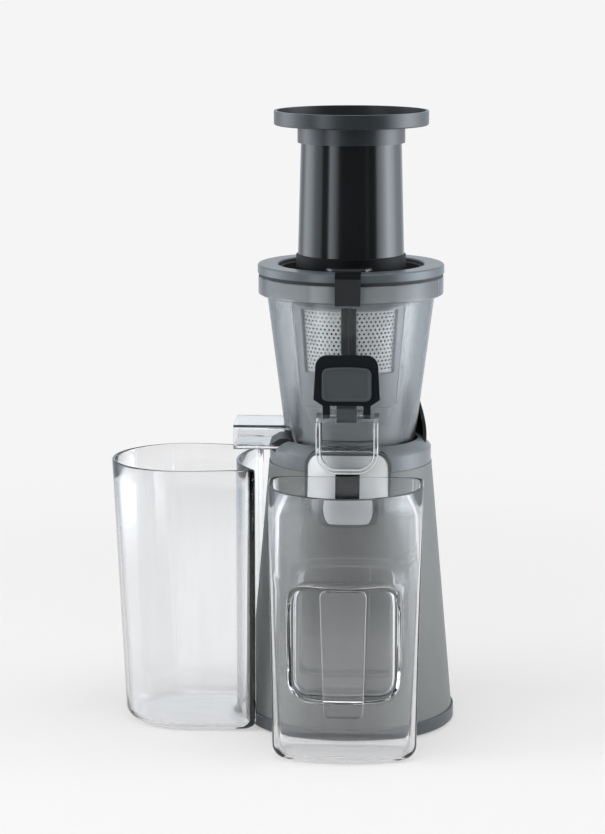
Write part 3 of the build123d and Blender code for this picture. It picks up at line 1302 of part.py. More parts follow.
# ---------------------------------------------------------------- lid, feed tube and tray
def make_lid():
    """Black lid: well, feed tube and the skirt that plugs the bowl, in one moulding."""
    skirt_r = BOWL_RIM_R - BOWL_WALL - LID_SKIRT_GAP
    plate_low = BOWL_RIM_TOP + SEAT_GAP
    plate_top = plate_low + LID_PLATE_THICK
    well_r = LID_RING_INNER_R - SNUG
    plate_r = LID_RING_R - EDGE_BREAK
    underside = LID_WELL_FLOOR - LID_PLATE_THICK
    root = ThreePointArc(
        (TUBE_LOW_R, LID_WELL_FLOOR + TUBE_FILLET),
        (TUBE_LOW_R + TUBE_FILLET * ARC_SAG, LID_WELL_FLOOR + TUBE_FILLET * ARC_SAG),
        (TUBE_LOW_R + TUBE_FILLET, LID_WELL_FLOOR),
    )
    rest = Polyline(
        root @ 1,
        (well_r - WELL_WALL, LID_WELL_FLOOR),
        (well_r - WELL_WALL, LID_RING_TOP - WELL_WALL_SINK),
        (well_r, LID_RING_TOP - WELL_WALL_SINK),
        (well_r, plate_top),
        (plate_r, plate_top),
        (plate_r, plate_low),
        (skirt_r, plate_low),
        (skirt_r, LID_SKIRT_BOTTOM),
        (skirt_r - LID_SKIRT_THICK, LID_SKIRT_BOTTOM),
        (skirt_r - LID_SKIRT_THICK, underside),
        (TUBE_LOW_R, underside),
        (TUBE_LOW_R, TUBE_BOTTOM),
        (TUBE_LOW_R - TUBE_WALL, TUBE_BOTTOM),
        (TUBE_HIGH_R - TUBE_WALL, TUBE_TOP),
        (TUBE_HIGH_R, TUBE_TOP),
        (TUBE_HIGH_R, TRAY_SLEEVE_BOTTOM - 2),
        root @ 0,
    )
    lid = revolve(Plane.XZ * make_face(root + rest), Axis.Z)
    lid += lid_tab(0)
    thumb = rod(THUMB_R, LID_WELL_FLOOR - 1, THUMB_TOP, 0, THUMB_Y) & rod(well_r - 1, 0, THUMB_TOP)
    lid += fillet(thumb.faces().sort_by(Axis.Z)[-1].edges(), THUMB_ROUND)
    bore = turned(
        (0, TUBE_BOTTOM - 1),
        (TUBE_LOW_R - TUBE_WALL, TUBE_BOTTOM - 1),
        (TUBE_HIGH_R - TUBE_WALL, TUBE_TOP + 1),
        (0, TUBE_TOP + 1),
    )
    return lid - bore


def lid_tab(grow):
    """Tab that crosses the ring and hangs over the bowl's rim."""
    half = LID_TAB_HALF + grow
    face = -LID_RING_R - LID_TAB_THICK - grow
    low, high = BOWL_RIM_TOP + SEAT_GAP - grow, LID_RING_TOP + LID_TAB_RISE + grow
    over = block(-half, half, face, -LID_RING_INNER_R + 1, low, high)
    return over + block(-half, half, face, -BOWL_RIM_R - LID_TAB_RISE, LID_TAB_BOTTOM, low)


def make_lid_ring():
    low = BOWL_RIM_TOP + SEAT_GAP + LID_PLATE_THICK
    outer, inner, top, edge = LID_RING_R, LID_RING_INNER_R, LID_RING_TOP, LID_RING_ROUND
    sag = edge * ARC_SAG
    outside = ThreePointArc((outer, top - edge), (outer - sag, top - sag), (outer - edge, top))
    rest = Polyline(
        outside @ 1,
        (inner + EDGE_BREAK, top),
        (inner, top - EDGE_BREAK),
        (inner, low),
        (outer, low),
        outside @ 0,
    )
    return revolve(Plane.XZ * make_face(outside + rest), Axis.Z) - lid_tab(SNUG)


def make_feed_tray():
    sleeve_r = TUBE_HIGH_R + SLIP_GAP
    sleeve_outer = sleeve_r + TRAY_SLEEVE_WALL
    floor_low = TUBE_TOP + SEAT_GAP
    floor_top = floor_low + TRAY_FLOOR_THICK
    wall_r = TRAY_R - TRAY_WALL
    return turned(
        (TRAY_MOUTH_R, floor_low),
        (sleeve_r, floor_low),
        (sleeve_r, TRAY_SLEEVE_BOTTOM),
        (sleeve_outer, TRAY_SLEEVE_BOTTOM),
        (sleeve_outer, floor_low),
        (TRAY_R - EDGE_BREAK, floor_low),
        (TRAY_R, floor_low + EDGE_BREAK),
        (TRAY_R, TRAY_TOP),
        (wall_r, TRAY_TOP),
        (wall_r, floor_top + EDGE_BREAK),
        (wall_r - EDGE_BREAK, floor_top),
        (TRAY_MOUTH_R, floor_top - EDGE_BREAK),
    )


# ---------------------------------------------------------------- jug and pulp container
def jug_outline(t, inset):
    """D-shaped outline of the jug, from its foot (t = 0) to its rim (t = 1)."""
    half = lerp(JUG_FOOT_HALF, JUG_RIM_HALF, t) - inset
    back = lerp(JUG_FOOT_BACK, JUG_RIM_BACK, t) - inset
    side = lerp(JUG_FOOT_SIDE, JUG_RIM_SIDE, t)
    front = lerp(JUG_FOOT_FRONT, JUG_RIM_FRONT, t) + inset
    arc = ThreePointArc((-half, side), (0, front), (half, side))
    rest = Polyline(arc @ 1, (half, back), (-half, back), arc @ 0)
    face = make_face(arc + rest)
    rear = face.vertices().group_by(Axis.Y)[-1]
    face = fillet(rear, JUG_BACK_CORNER_R - inset / 2)
    ends = [v for v in face.vertices() if abs(v.Y - side) < 0.01]
    return Pos(JUG_CENTRE_X, 0) * fillet(ends, JUG_FRONT_CORNER_R)


def pulp_outline(t, inset):
    """Outline of the pulp container: round far side, hollow side against the base."""
    half = lerp(PULP_FOOT_HALF, PULP_HALF_WIDTH, t) - inset
    far = lerp(PULP_FOOT_FAR_X, PULP_FAR_X, t) + inset
    near_r = PULP_NEAR_R + inset
    near_half = PULP_NEAR_HALF - inset
    near_x = -sqrt(near_r**2 - near_half**2)
    hollow = ThreePointArc((near_x, -near_half), (-near_r, 0), (near_x, near_half))
    upper = Line(hollow @ 1, (PULP_SIDE_X, half))
    round_end = ThreePointArc(upper @ 1, (far, 0), (PULP_SIDE_X, -half))
    lower = Line(round_end @ 1, hollow @ 0)
    face = make_face(hollow + upper + round_end + lower)
    horns = face.vertices().group_by(Axis.X)[-1]
    face = fillet(horns, PULP_CORNER_R - inset / 2)
    ends = [v for v in face.vertices() if abs(v.X - PULP_SIDE_X) < 0.01]
    return fillet(ends, PULP_FAR_CORNER_R)


def vessel(outline, inset, z0, z1, foot_round):
    """Body lofted from foot to rim, with its foot rounded in three facets."""
    sections = [
        (z0 + foot_round * (1 - cos(a)), inset + foot_round * (1 - sin(a)))
        for a in (0, pi / 6, pi / 3, pi / 2)
    ]
    sections.append((z1, inset))
    faces = [Pos(0, 0, z) * outline(z / VESSEL_RIM, edge) for z, edge in sections]
    return loft(faces, ruled=True)


def jug_front(z):
    """Y of the jug's front at a height."""
    return lerp(JUG_FOOT_FRONT, JUG_RIM_FRONT, z / VESSEL_RIM)


def finger_well(grow):
    """Hollow in the front of the jug for the fingers, wider at its mouth."""
    low, high = GRIP_BOTTOM - grow, GRIP_TOP + grow
    half = GRIP_HALF_WIDTH + grow
    back = jug_front(GRIP_TOP) + GRIP_DEPTH + grow
    mouth = jug_front(GRIP_TOP) - GRIP_FLARE
    floor = RectangleRounded(2 * half, high - low, GRIP_CORNER_R + grow)
    opening = RectangleRounded(2 * (half + GRIP_FLARE), high - low, GRIP_MOUTH_CORNER_R + grow)
    middle = Pos(JUG_CENTRE_X, (low + high) / 2)
    return loft([Pos(0, back, 0) * (Plane.XZ * middle * floor), Pos(0, mouth, 0) * (Plane.XZ * middle * opening)])


def strap():
    """Upright grip across the finger well."""
    low, high = STRAP_BOTTOM, STRAP_TOP
    outline = Polyline(
        (-STRAP_HALF_BOTTOM, low),
        (-STRAP_HALF_TOP, high),
        (STRAP_HALF_TOP, high),
        (STRAP_HALF_BOTTOM, low),
        close=True,
    )
    outline = make_face(outline)
    outline = fillet(outline.vertices(), STRAP_CORNER_R)
    low_y, high_y = jug_front(low) - STRAP_PROUD, jug_front(high) - STRAP_PROUD
    slab = Polyline(
        (low_y, low),
        (high_y, high),
        (high_y + STRAP_THICK, high),
        (low_y + STRAP_THICK, low),
        close=True,
    )
    front = facing(Pos(JUG_CENTRE_X, 0) * outline, JUG_FOOT_BACK, 2 * JUG_RIM_FRONT)
    return front & across(make_face(slab), FOOT_R)


def make_juice_jug():
    outer = vessel(jug_outline, 0, 0, VESSEL_RIM, JUG_FOOT_ROUND) - finger_well(0)
    inner_round = JUG_FOOT_ROUND - VESSEL_WALL
    inner = vessel(jug_outline, VESSEL_WALL, VESSEL_FLOOR, VESSEL_RIM + 1, inner_round)
    return outer - (inner - finger_well(VESSEL_WALL)) + strap()


def make_pulp_container():
    inner_round = PULP_FOOT_ROUND - VESSEL_WALL
    outer = vessel(pulp_outline, 0, 0, VESSEL_RIM, PULP_FOOT_ROUND)
    return outer - vessel(pulp_outline, VESSEL_WALL, VESSEL_FLOOR, VESSEL_RIM + 1, inner_round)


# ---------------------------------------------------------------- every piece, in its own file
PIECES = {
    "grip_ring": make_grip_ring,
    "foot_ring": make_foot_ring,
    "base_plate": make_base_plate,
    "base_screws": make_base_screws,
    "body_shell": make_body_shell,
    "collar_ring": make_collar_ring,
    "bowl_seat": make_bowl_seat,
    "control_plate": make_control_plate,
    "plate_surround": make_plate_surround,
    "switch_housing": make_switch_housing,
    "rocker_button": make_rocker_button,
    "mains_gland": make_mains_gland,
    "motor_can": make_motor_can,
    "motor_end_cap": make_motor_end_cap,
    "motor_magnets": make_magnets,
    "motor_shaft": make_motor_shaft,
    "armature": make_armature,
    "cooling_fan": make_cooling_fan,
    "motor_pinion": make_motor_pinion,
    "idler_gear": make_idler_gear,
    "idler_pin": make_idler_pin,
    "output_gear": make_output_gear,
    "drive_shaft": make_drive_shaft,
    "gearbox_housing": make_gearbox_housing,
    "gearbox_bulkhead": make_gearbox_bulkhead,
    "gearbox_cover": make_gearbox_cover,
    "shaft_bearing": make_shaft_bearing,
    "shaft_seal": make_shaft_seal,
    "juice_bowl": make_juice_bowl,
    "bowl_gasket": make_bowl_gasket,
    "pulp_plug": make_pulp_plug,
    "strainer_frame": make_strainer_frame,
    "strainer_mesh": make_strainer_mesh,
    "strainer_strip": make_strainer_strip,
    "auger": make_auger,
    "cap_pin": make_cap_pin,
    "hinge_bumper": make_hinge_bumper,
    "drip_cap": make_drip_cap,
    "cap_seal": make_cap_seal,
    "lid": make_lid,
    "lid_ring": make_lid_ring,
    "feed_tray": make_feed_tray,
    "juice_jug": make_juice_jug,
    "pulp_container": make_pulp_container,
}

for node, make in PIECES.items():
    export_step(make(), f"parts/{node}.step")
    print("made", node)
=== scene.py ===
# %% [markdown]
# # Dressing a slow juicer
# A slow juicer is a tall motor base with a clear bowl on top, in which a screw presses fruit against a strainer.
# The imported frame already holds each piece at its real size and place. This notebook keeps those pieces where they
# are, gives each one the finish of its real material, and remodels the few whose looks need a finer mesh.

import json
from math import asin, atan2, cos, hypot, pi, radians, sin, sqrt

import bmesh
import bpy
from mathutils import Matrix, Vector


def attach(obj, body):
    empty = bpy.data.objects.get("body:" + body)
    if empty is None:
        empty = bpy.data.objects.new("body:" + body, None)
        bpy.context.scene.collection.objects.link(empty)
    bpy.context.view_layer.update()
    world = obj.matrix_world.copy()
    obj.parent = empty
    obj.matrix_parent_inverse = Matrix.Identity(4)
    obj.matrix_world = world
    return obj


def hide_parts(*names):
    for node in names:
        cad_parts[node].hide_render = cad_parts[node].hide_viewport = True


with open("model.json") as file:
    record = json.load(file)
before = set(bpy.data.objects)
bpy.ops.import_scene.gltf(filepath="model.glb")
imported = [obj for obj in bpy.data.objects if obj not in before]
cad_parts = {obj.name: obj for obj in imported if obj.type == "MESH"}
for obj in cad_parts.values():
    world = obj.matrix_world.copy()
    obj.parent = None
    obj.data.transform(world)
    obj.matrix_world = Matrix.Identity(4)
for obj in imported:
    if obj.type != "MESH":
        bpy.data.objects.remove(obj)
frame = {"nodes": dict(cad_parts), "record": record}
NODES = frame["nodes"]
SCENE = bpy.context.scene
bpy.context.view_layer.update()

# %% [markdown]
# ## Units
# The frame is in metres, and moulded parts are thought of in millimetres, so `MM` turns one into the other.
# A colour is picked as an sRGB hex value, as in any drawing program, but a shader works in linear light. One
# function does that change for every material.

# %% Millimetres and colours
MM = 0.001


def paint(hex_colour, alpha=1.0):
    """Linear RGBA from an sRGB hex colour such as #8A8D8B."""
    channels = [int(hex_colour[i:i + 2], 16) / 255 for i in (1, 3, 5)]
    linear = [c / 12.92 if c <= 0.04045 else ((c + 0.055) / 1.055) ** 2.4 for c in channels]
    return (*linear, alpha)


print("mid grey #808080 is", round(paint("#808080")[0], 3), "in linear light")

# %% [markdown]
# ## Camera
# A product shot is taken with a long lens from a little above, so that upright edges stay nearly parallel. The lens
# is worked out from a focal length in pixels and the height of the picture, and the camera is turned by a yaw and a
# pitch. Nothing is shifted, and there is no depth of field, so the whole product is sharp.

# %% Place the camera
PICTURE_HEIGHT_PX = 834
FOCAL_PX = 2770
SENSOR_MM = 36
CAMERA_PLACE = (0.0660, -1.9389, 0.56635)  # metres
CAMERA_YAW = radians(-2.9585)
CAMERA_PITCH = radians(10.1417)

lens = bpy.data.cameras.new("studio_lens")
lens.sensor_width = SENSOR_MM
lens.lens = FOCAL_PX * SENSOR_MM / PICTURE_HEIGHT_PX
camera = bpy.data.objects.new("studio_camera", lens)
camera.location = CAMERA_PLACE
sight = Vector((
    sin(CAMERA_YAW) * cos(CAMERA_PITCH),
    cos(CAMERA_YAW) * cos(CAMERA_PITCH),
    -sin(CAMERA_PITCH),
))
camera.rotation_euler = sight.to_track_quat("-Z", "Y").to_euler()
SCENE.collection.objects.link(camera)
SCENE.camera = camera
print("lens", round(lens.lens, 1), "mm")

# %% [markdown]
# ## One function for nodes
# Every material below is a small network of shader nodes. `add` makes one node, sets its values by the names that
# Blender shows, and links the outputs of earlier nodes into it. A name that isn't a socket is a setting of the node.

# %% A helper that adds a node
def add(tree, kind, values=None, links=None):
    """New node of a kind, with its values set and its inputs linked."""
    node = tree.nodes.new("ShaderNode" + kind)
    for name, value in (values or {}).items():
        if isinstance(name, int) or name in node.inputs:
            node.inputs[name].default_value = value
        else:
            setattr(node, name, value)
    for name, output in (links or {}).items():
        tree.links.new(output, node.inputs[name])
    return node


def new_material(name):
    """Empty material, its node tree, and the output node."""
    material = bpy.data.materials.new(name)
    material.use_nodes = True
    tree = material.node_tree
    tree.nodes.clear()
    return material, tree, add(tree, "OutputMaterial")


print("node helper ready")

# %% [markdown]
# ## Floor
# A studio hangs a pale paper sheet that sweeps up behind the product, so no horizon shows. A curved sheet could be
# modelled. A flat disc that fades into a background of the same tone looks the same and takes no space behind the
# product. The disc keeps a soft shadow, because only part of its light is its own. Where gloss mirrors the floor, its
# far part is open, so that the soft boxes of the next step show there.

# %% Which light has been mirrored
def mirror_share(tree, path):
    """1 for light that a gloss surface has mirrored, also where it then passes clear walls, else 0."""
    bounced = add(tree, "Math", {"operation": "GREATER_THAN", 1: 0.5}, {0: path.outputs["Glossy Depth"]})
    plain = add(tree, "Math", {"operation": "SUBTRACT", 0: 1.0}, {1: path.outputs["Is Diffuse Ray"]})
    return add(tree, "Math", {"operation": "MULTIPLY"}, {0: bounced.outputs[0], 1: plain.outputs[0]}).outputs[0]


print("mirrored light can be told apart")

# %% Paper of the backdrop
BACKDROP = "#F6F5F5"
PAPER_SCATTER = "#EDECEC"  # colour of the light that the paper throws on the product
FLOOR_GLOW = 0.46  # share of the floor's brightness that doesn't depend on the lamps
FLOOR_LIT = (1 - FLOOR_GLOW) * 0.92  # the lamps are a little stronger than 1 on the floor, hence the 0.92
FADE_FROM, FADE_TO = 0.25, 0.95  # metres from the middle
OPEN_FROM, OPEN_TO = 0.5, 0.95

backdrop_paper, tree, out = new_material("backdrop_paper")
place = add(tree, "TexCoord")
span = add(tree, "VectorMath", {"operation": "LENGTH"}, {0: place.outputs["Object"]})
fade = add(tree, "MapRange", {"From Min": FADE_FROM, "From Max": FADE_TO, "interpolation_type": "SMOOTHSTEP"},
           {"Value": span.outputs["Value"]})
paper = add(tree, "BsdfDiffuse", {"Color": paint(PAPER_SCATTER)})
glow = add(tree, "Emission", {"Color": paint(BACKDROP), "Strength": FLOOR_GLOW})
shade = add(tree, "BsdfDiffuse", {"Color": (*(c * FLOOR_LIT for c in paint(BACKDROP)[:3]), 1)})
near = add(tree, "AddShader", {}, {0: glow.outputs[0], 1: shade.outputs[0]})
far = add(tree, "Emission", {"Color": paint(BACKDROP), "Strength": 1.0})
seen = add(tree, "MixShader", {}, {0: fade.outputs[0], 1: near.outputs[0], 2: far.outputs[0]})
path = add(tree, "LightPath")
scattered = path.outputs["Is Diffuse Ray"]
whole = add(tree, "MixShader", {}, {0: scattered, 1: seen.outputs[0], 2: paper.outputs[0]})
edge = add(tree, "MapRange", {"From Min": OPEN_FROM, "From Max": OPEN_TO, "interpolation_type": "SMOOTHSTEP"},
           {"Value": span.outputs["Value"]})
mirrored_edge = add(tree, "Math", {"operation": "MULTIPLY"}, {0: edge.outputs[0], 1: mirror_share(tree, path)})
open_air = add(tree, "BsdfTransparent")
floor_look = add(tree, "MixShader", {}, {0: mirrored_edge.outputs[0], 1: whole.outputs[0], 2: open_air.outputs[0]})
tree.links.new(floor_look.outputs[0], out.inputs["Surface"])
print("paper fades from", FADE_FROM, "to", FADE_TO, "m")

# %% Disc of the floor
FLOOR_RADIUS = 3.0

disc = bmesh.new()
bmesh.ops.create_circle(disc, cap_ends=True, segments=96, radius=FLOOR_RADIUS)
floor_mesh = bpy.data.meshes.new("studio_floor")
disc.to_mesh(floor_mesh)
disc.free()
floor_mesh.materials.append(backdrop_paper)
floor = bpy.data.objects.new("studio_floor", floor_mesh)
SCENE.collection.objects.link(floor)
print("floor radius", FLOOR_RADIUS, "m")

# %% [markdown]
# ## Light
# Black gloss plastic has hardly any colour of its own: it is drawn by what it mirrors. A product studio therefore
# stands tall soft boxes left and right, a narrow one near the camera, and black cloth in between, so that an upright
# black tube shows soft bright bands with crisp edges. Lamps could do this, but each one would also light the matt
# pieces and the floor. Here the boxes are painted on the world as a ring of bearings, and only gloss sees them.
# Plain lamps and an even ambient light do the rest, at a level where a colour renders about as it is written.

# %% Bearings of the soft boxes
RING_PEAK = 7.2
RING_TINT = (0.93, 1.0, 1.08)  # daylight tubes are a little blue
SOFT_BOXES = [  # bearing in degrees, 0 at the front and positive to the right, and how bright the ring is there
    (-180, 1.0), (-140, 0.7), (-131, 0.9), (-114, 3.2), (-98, 3.2), (-84, 1.5), (-67, 0.95), (-65, 0.04), (-50, 0.04),
    (-47, 3.2), (-42, 2.9), (-33, 1.6), (-24, 0.12), (-18, 0.04), (33, 0.04), (38, 0.22), (44, 0.04), (58, 0.05),
    (61, 1.6), (70, 2.9), (80, 4.4), (92, 6.6), (105, 4.6), (121, 1.9), (142, 0.9), (180, 1.0),
]
print("brightest at", max(SOFT_BOXES, key=lambda stop: stop[1])[0], "degrees")

# %% Paint the ring, the ceiling and the ambient light on the world
CEILING_LEVEL = 0.9
CEILING_FROM, CEILING_TO = 0.45, 0.8  # how steeply gloss has to look up to see the ceiling, as the sine of the angle
AMBIENT = 0.42

world = bpy.data.worlds.new("studio_room")
SCENE.world = world
world.use_nodes = True
tree = world.node_tree
tree.nodes.clear()
compass = add(tree, "TexCoord")
axes = add(tree, "SeparateXYZ", {}, {0: compass.outputs["Generated"]})
ahead = add(tree, "Math", {"operation": "MULTIPLY", 1: -1.0}, {0: axes.outputs["Y"]})
bearing = add(tree, "Math", {"operation": "ARCTAN2"}, {0: axes.outputs["X"], 1: ahead.outputs[0]})
turn = add(tree, "MapRange", {"From Min": -pi, "From Max": pi}, {"Value": bearing.outputs[0]})
ring = add(tree, "ValToRGB", {}, {"Fac": turn.outputs[0]})
stops = ring.color_ramp.elements
while len(stops) < len(SOFT_BOXES):
    stops.new(1.0)
for stop, (angle, bright) in zip(stops, SOFT_BOXES):
    stop.position = angle / 360 + 0.5
    stop.color = tuple(bright / RING_PEAK * share for share in RING_TINT) + (1,)
boxes = add(tree, "Background", {"Strength": RING_PEAK}, {"Color": ring.outputs["Color"]})
ceiling = add(tree, "Background", {"Color": paint(BACKDROP), "Strength": CEILING_LEVEL})
up = add(tree, "MapRange", {"From Min": CEILING_FROM, "From Max": CEILING_TO, "interpolation_type": "SMOOTHSTEP"},
         {"Value": axes.outputs["Z"]})
mirrored = add(tree, "MixShader", {}, {0: up.outputs[0], 1: boxes.outputs[0], 2: ceiling.outputs[0]})
room = add(tree, "Background", {"Color": paint("#FFFFFF"), "Strength": AMBIENT})
backdrop = add(tree, "Background", {"Color": paint(BACKDROP), "Strength": 1.0})
path = add(tree, "LightPath")
straight = add(tree, "MixShader", {}, {0: path.outputs["Is Diffuse Ray"], 1: backdrop.outputs[0], 2: room.outputs[0]})
final = add(tree, "MixShader", {}, {0: mirror_share(tree, path), 1: straight.outputs[0], 2: mirrored.outputs[0]})
tree.links.new(final.outputs[0], add(tree, "OutputWorld").inputs["Surface"])
print("ring of", len(stops), "stops, ambient", AMBIENT)

# %% Plain lamps that gloss doesn't mirror
LAMPS = {  # place, width and height in metres, and power in watts
    "lamp_left": ((-1.7, -0.55, 0.75), 1.0, 1.5, 20),
    "lamp_right": ((1.7, -0.25, 0.75), 1.2, 1.5, 17),
    "lamp_front": ((-1.15, -1.75, 0.7), 0.28, 1.4, 5),
    "lamp_top": ((0.0, -0.5, 2.0), 1.4, 1.0, 14),
}
LAMPS_AIM = (0.0, 0.0, 0.25)

for name, (place, width, height, power) in LAMPS.items():
    lamp = bpy.data.lights.new(name, "AREA")
    lamp.shape = "RECTANGLE"
    lamp.size, lamp.size_y, lamp.energy = width, height, power
    box = bpy.data.objects.new(name, lamp)
    box.location = place
    box.rotation_euler = (Vector(LAMPS_AIM) - Vector(place)).to_track_quat("-Z", "Y").to_euler()
    box.visible_glossy = False
    SCENE.collection.objects.link(box)
SCENE.view_settings.view_transform = "Standard"
print("lamps:", ", ".join(LAMPS))

# %% [markdown]
# ## Opaque plastics
# Most of the juicer is injection-moulded ABS. Its refractive index is about 1.54, and its gloss is that of the
# polished or spark-eroded steel it was moulded against. Even a polished moulding isn't perfectly flat: it undulates
# over a few millimetres where it shrank, and a textured one has a grain of a few tenths of a millimetre. A picture of
# plastic could be wrapped round each piece, but it would stretch and show seams. Noise in object space has no seams
# and keeps its real size on every piece. A 0.2 mm grain is finer than the picture can show, so it is drawn 0.6 mm
# wide.

# %% Noise and relief of real size
def noise_of_size(tree, size_mm, detail=3.0):
    """Noise whose blobs are about this many millimetres wide, in object space."""
    place = add(tree, "TexCoord")
    return add(tree, "TexNoise", {"Scale": 1 / (size_mm * MM), "Detail": detail}, {"Vector": place.outputs["Object"]})


def relief(tree, *layers):
    """Bump from pairs of noise and depth in millimetres, coarse to fine."""
    normal = None
    for noise, depth_mm in layers:
        links = {"Height": noise.outputs[0]}
        if normal:
            links["Normal"] = normal
        normal = add(tree, "Bump", {"Distance": depth_mm * MM, "Strength": 1.0}, links).outputs["Normal"]
    return normal


def tinted(hex_colour, change):
    """A colour made lighter or darker by a share of itself."""
    return tuple(min(c * (1 + change), 1) for c in paint(hex_colour)[:3]) + (1,)


print("noise, relief and tint ready")

# %% One function for opaque finishes
ABS_IOR = 1.54
WAVE_MM = 14  # how far apart the hollows of a shrunken moulding are
SMOOTHER, ROUGHER, LEAST_ROUGH = 0.04, 0.05, 0.02  # how much the roughness changes over a grain
DULL_ROUGH, DULL_FADE_MM = 0.55, 1.5


def solid_finish(name, hex_colour, gloss, grain_mm=0.6, grain_depth_mm=0.005, wave_depth_mm=0.004, tone=0.05,
                 dull_below=None, **settings):
    """Opaque finish: colour, roughness, the size and depth of its grain, and other settings of the shader. dull_below
    is a height in millimetres under which the gloss fades, as it does where a polishing wheel can't reach."""
    material, tree, out = new_material(name)
    grain = noise_of_size(tree, grain_mm)
    wave = noise_of_size(tree, WAVE_MM, 1.0)
    colour = add(tree, "MixRGB", {"Color1": tinted(hex_colour, -tone), "Color2": tinted(hex_colour, tone)},
                 {"Fac": wave.outputs[0]})
    rough = add(tree, "MapRange", {"To Min": max(gloss - SMOOTHER, LEAST_ROUGH), "To Max": gloss + ROUGHER},
                {"Value": grain.outputs[0]})
    if dull_below:
        height = add(tree, "SeparateXYZ", {}, {0: add(tree, "TexCoord").outputs["Object"]})
        sunk = add(tree, "MapRange", {"From Min": (dull_below - DULL_FADE_MM) * MM, "From Max": dull_below * MM,
                                      "To Min": DULL_ROUGH, "To Max": 0.0}, {"Value": height.outputs["Z"]})
        rough = add(tree, "Math", {"operation": "ADD"}, {0: rough.outputs[0], 1: sunk.outputs[0]})
    normal = relief(tree, (wave, wave_depth_mm), (grain, grain_depth_mm))
    values = {"IOR": ABS_IOR} | {key.replace("_", " "): value for key, value in settings.items()}
    skin = add(tree, "BsdfPrincipled", values,
               {"Base Color": colour.outputs[0], "Roughness": rough.outputs[0], "Normal": normal})
    tree.links.new(skin.outputs[0], out.inputs["Surface"])
    return material


print("opaque finish ready")

# %% Black and grey plastics of the outside
LID_STEP_Z = 327

# ABS from a polished mould: near black, with crisp bright bands
BLACK_GLOSS = solid_finish("polished_black_abs", "#15181B", 0.14, grain_depth_mm=0.0006, wave_depth_mm=0.003)
# the same on the lid and its feed tube, but dull down in the lid's well
LID_BLACK = solid_finish("lid_black_abs", "#121416", 0.14, grain_depth_mm=0.0006, wave_depth_mm=0.003,
                         dull_below=LID_STEP_Z)
# ABS from a spark-eroded mould: black with a wide soft sheen
BLACK_SATIN = solid_finish("satin_black_abs", "#17191B", 0.42)
# ABS from a coarse mould, deep in the lid: the darkest black, with hardly any sheen. This is painted shade, standing
# for the lid's shade round the neck and for the black lid that the tube mirrors there
NECK_PAINTED_SHADE = solid_finish("neck_painted_shade_abs", "#08090A", 0.5, Specular_IOR_Level=0.15)
# satin ABS in three greys, whose edges catch a thin light line
TRAY_GREY = solid_finish("satin_slate_abs", "#262B2E", 0.32)
FOOT_GREY = solid_finish("satin_anthracite_abs", "#3C4347", 0.4)
COLLAR_GREY = solid_finish("satin_mid_grey_abs", "#5F6669", 0.3)
print("outside:", BLACK_GLOSS.name, BLACK_SATIN.name, TRAY_GREY.name)

# %% Plastics of what turns, and of the gearbox
# acetal without pigment, as gears are moulded: waxy off-white
ACETAL = solid_finish("natural_acetal", "#E4E1D6", 0.3, grain_mm=0.8, IOR=1.48)
# nylon filled with glass fibre: dark and mottled, because fibres reach the surface
FILLED_NYLON = solid_finish("glass_filled_nylon", "#2E3032", 0.55, grain_mm=1.2, grain_depth_mm=0.02, IOR=1.53)
# polyetherimide, hard enough for the screw: dark, with a polished surface that juice runs off
SCREW_PLASTIC = solid_finish("polished_graphite_pei", "#3A3C3E", 0.2, grain_depth_mm=0.001, IOR=1.63)
print("inside:", ACETAL.name, FILLED_NYLON.name, SCREW_PLASTIC.name)

# %% [markdown]
# ## Lacquer, silicone and rubber
# The motor base is ABS under silver lacquer. The lacquer carries fine aluminium flakes. A flake shader could draw
# each one, but at this distance they blend, so a Metallic value a little above zero and a speckle half a millimetre
# wide stand for them. Silicone and rubber are soft to the light: their roughness is high and their index is near 1.43
# and 1.52.

# %% Coatings and soft plastics
# silver lacquer with a satin clear coat: mid grey that brightens slowly towards the light
SILVER_LACQUER = solid_finish("silver_lacquered_abs", "#696C6B", 0.5, grain_mm=0.5, grain_depth_mm=0.004,
                              Metallic=0.12, IOR=1.5)
# darker flakes in a smoother coat: blue-grey with a narrow highlight along the lid's ring
RING_LACQUER = solid_finish("titanium_lacquered_abs", "#4E5559", 0.3, grain_mm=0.5, grain_depth_mm=0.003,
                            Metallic=0.2, IOR=1.5)
# pearl lacquer: nearly white, so the control plate stands out
PLATE_LACQUER = solid_finish("pearl_lacquered_abs", "#E4E6E7", 0.24, grain_mm=0.5, grain_depth_mm=0.002,
                             Metallic=0.12, IOR=1.5)
# moulded silicone, matt and slightly dusty to the eye
BLACK_SILICONE = solid_finish("black_silicone", "#1A1B1D", 0.48, grain_depth_mm=0.008, IOR=1.43)
STRIP_BLACK = solid_finish("strip_black_silicone", "#1D2022", 0.5, IOR=1.43)
CAP_SILICONE = solid_finish("charcoal_silicone", "#3C4144", 0.5, grain_depth_mm=0.008, IOR=1.43)
# moulded rubber: the dullest black, because it has to grip
FOOT_RUBBER = solid_finish("black_rubber", "#1C1C1D", 0.72, grain_mm=1.0, grain_depth_mm=0.02, IOR=1.52)
print("coatings:", SILVER_LACQUER.name, RING_LACQUER.name, "and silicone", CAP_SILICONE.name)

# %% [markdown]
# ## Metals
# A metal keeps the shader's default index, because its colour is its reflection. Turned and brushed steel has fine
# lines along one direction. The shader's anisotropy could stand for them, but it needs tangents and shows no single
# line. Noise stretched to 40 mm by 0.4 mm draws the lines themselves. Cast aluminium is coarser and has no direction.

# %% One function for metals
LINE_ROUGH = (-0.05, 0.08)  # how roughness and tone change from line to line
LINE_TONE = (-0.08, 0.05)


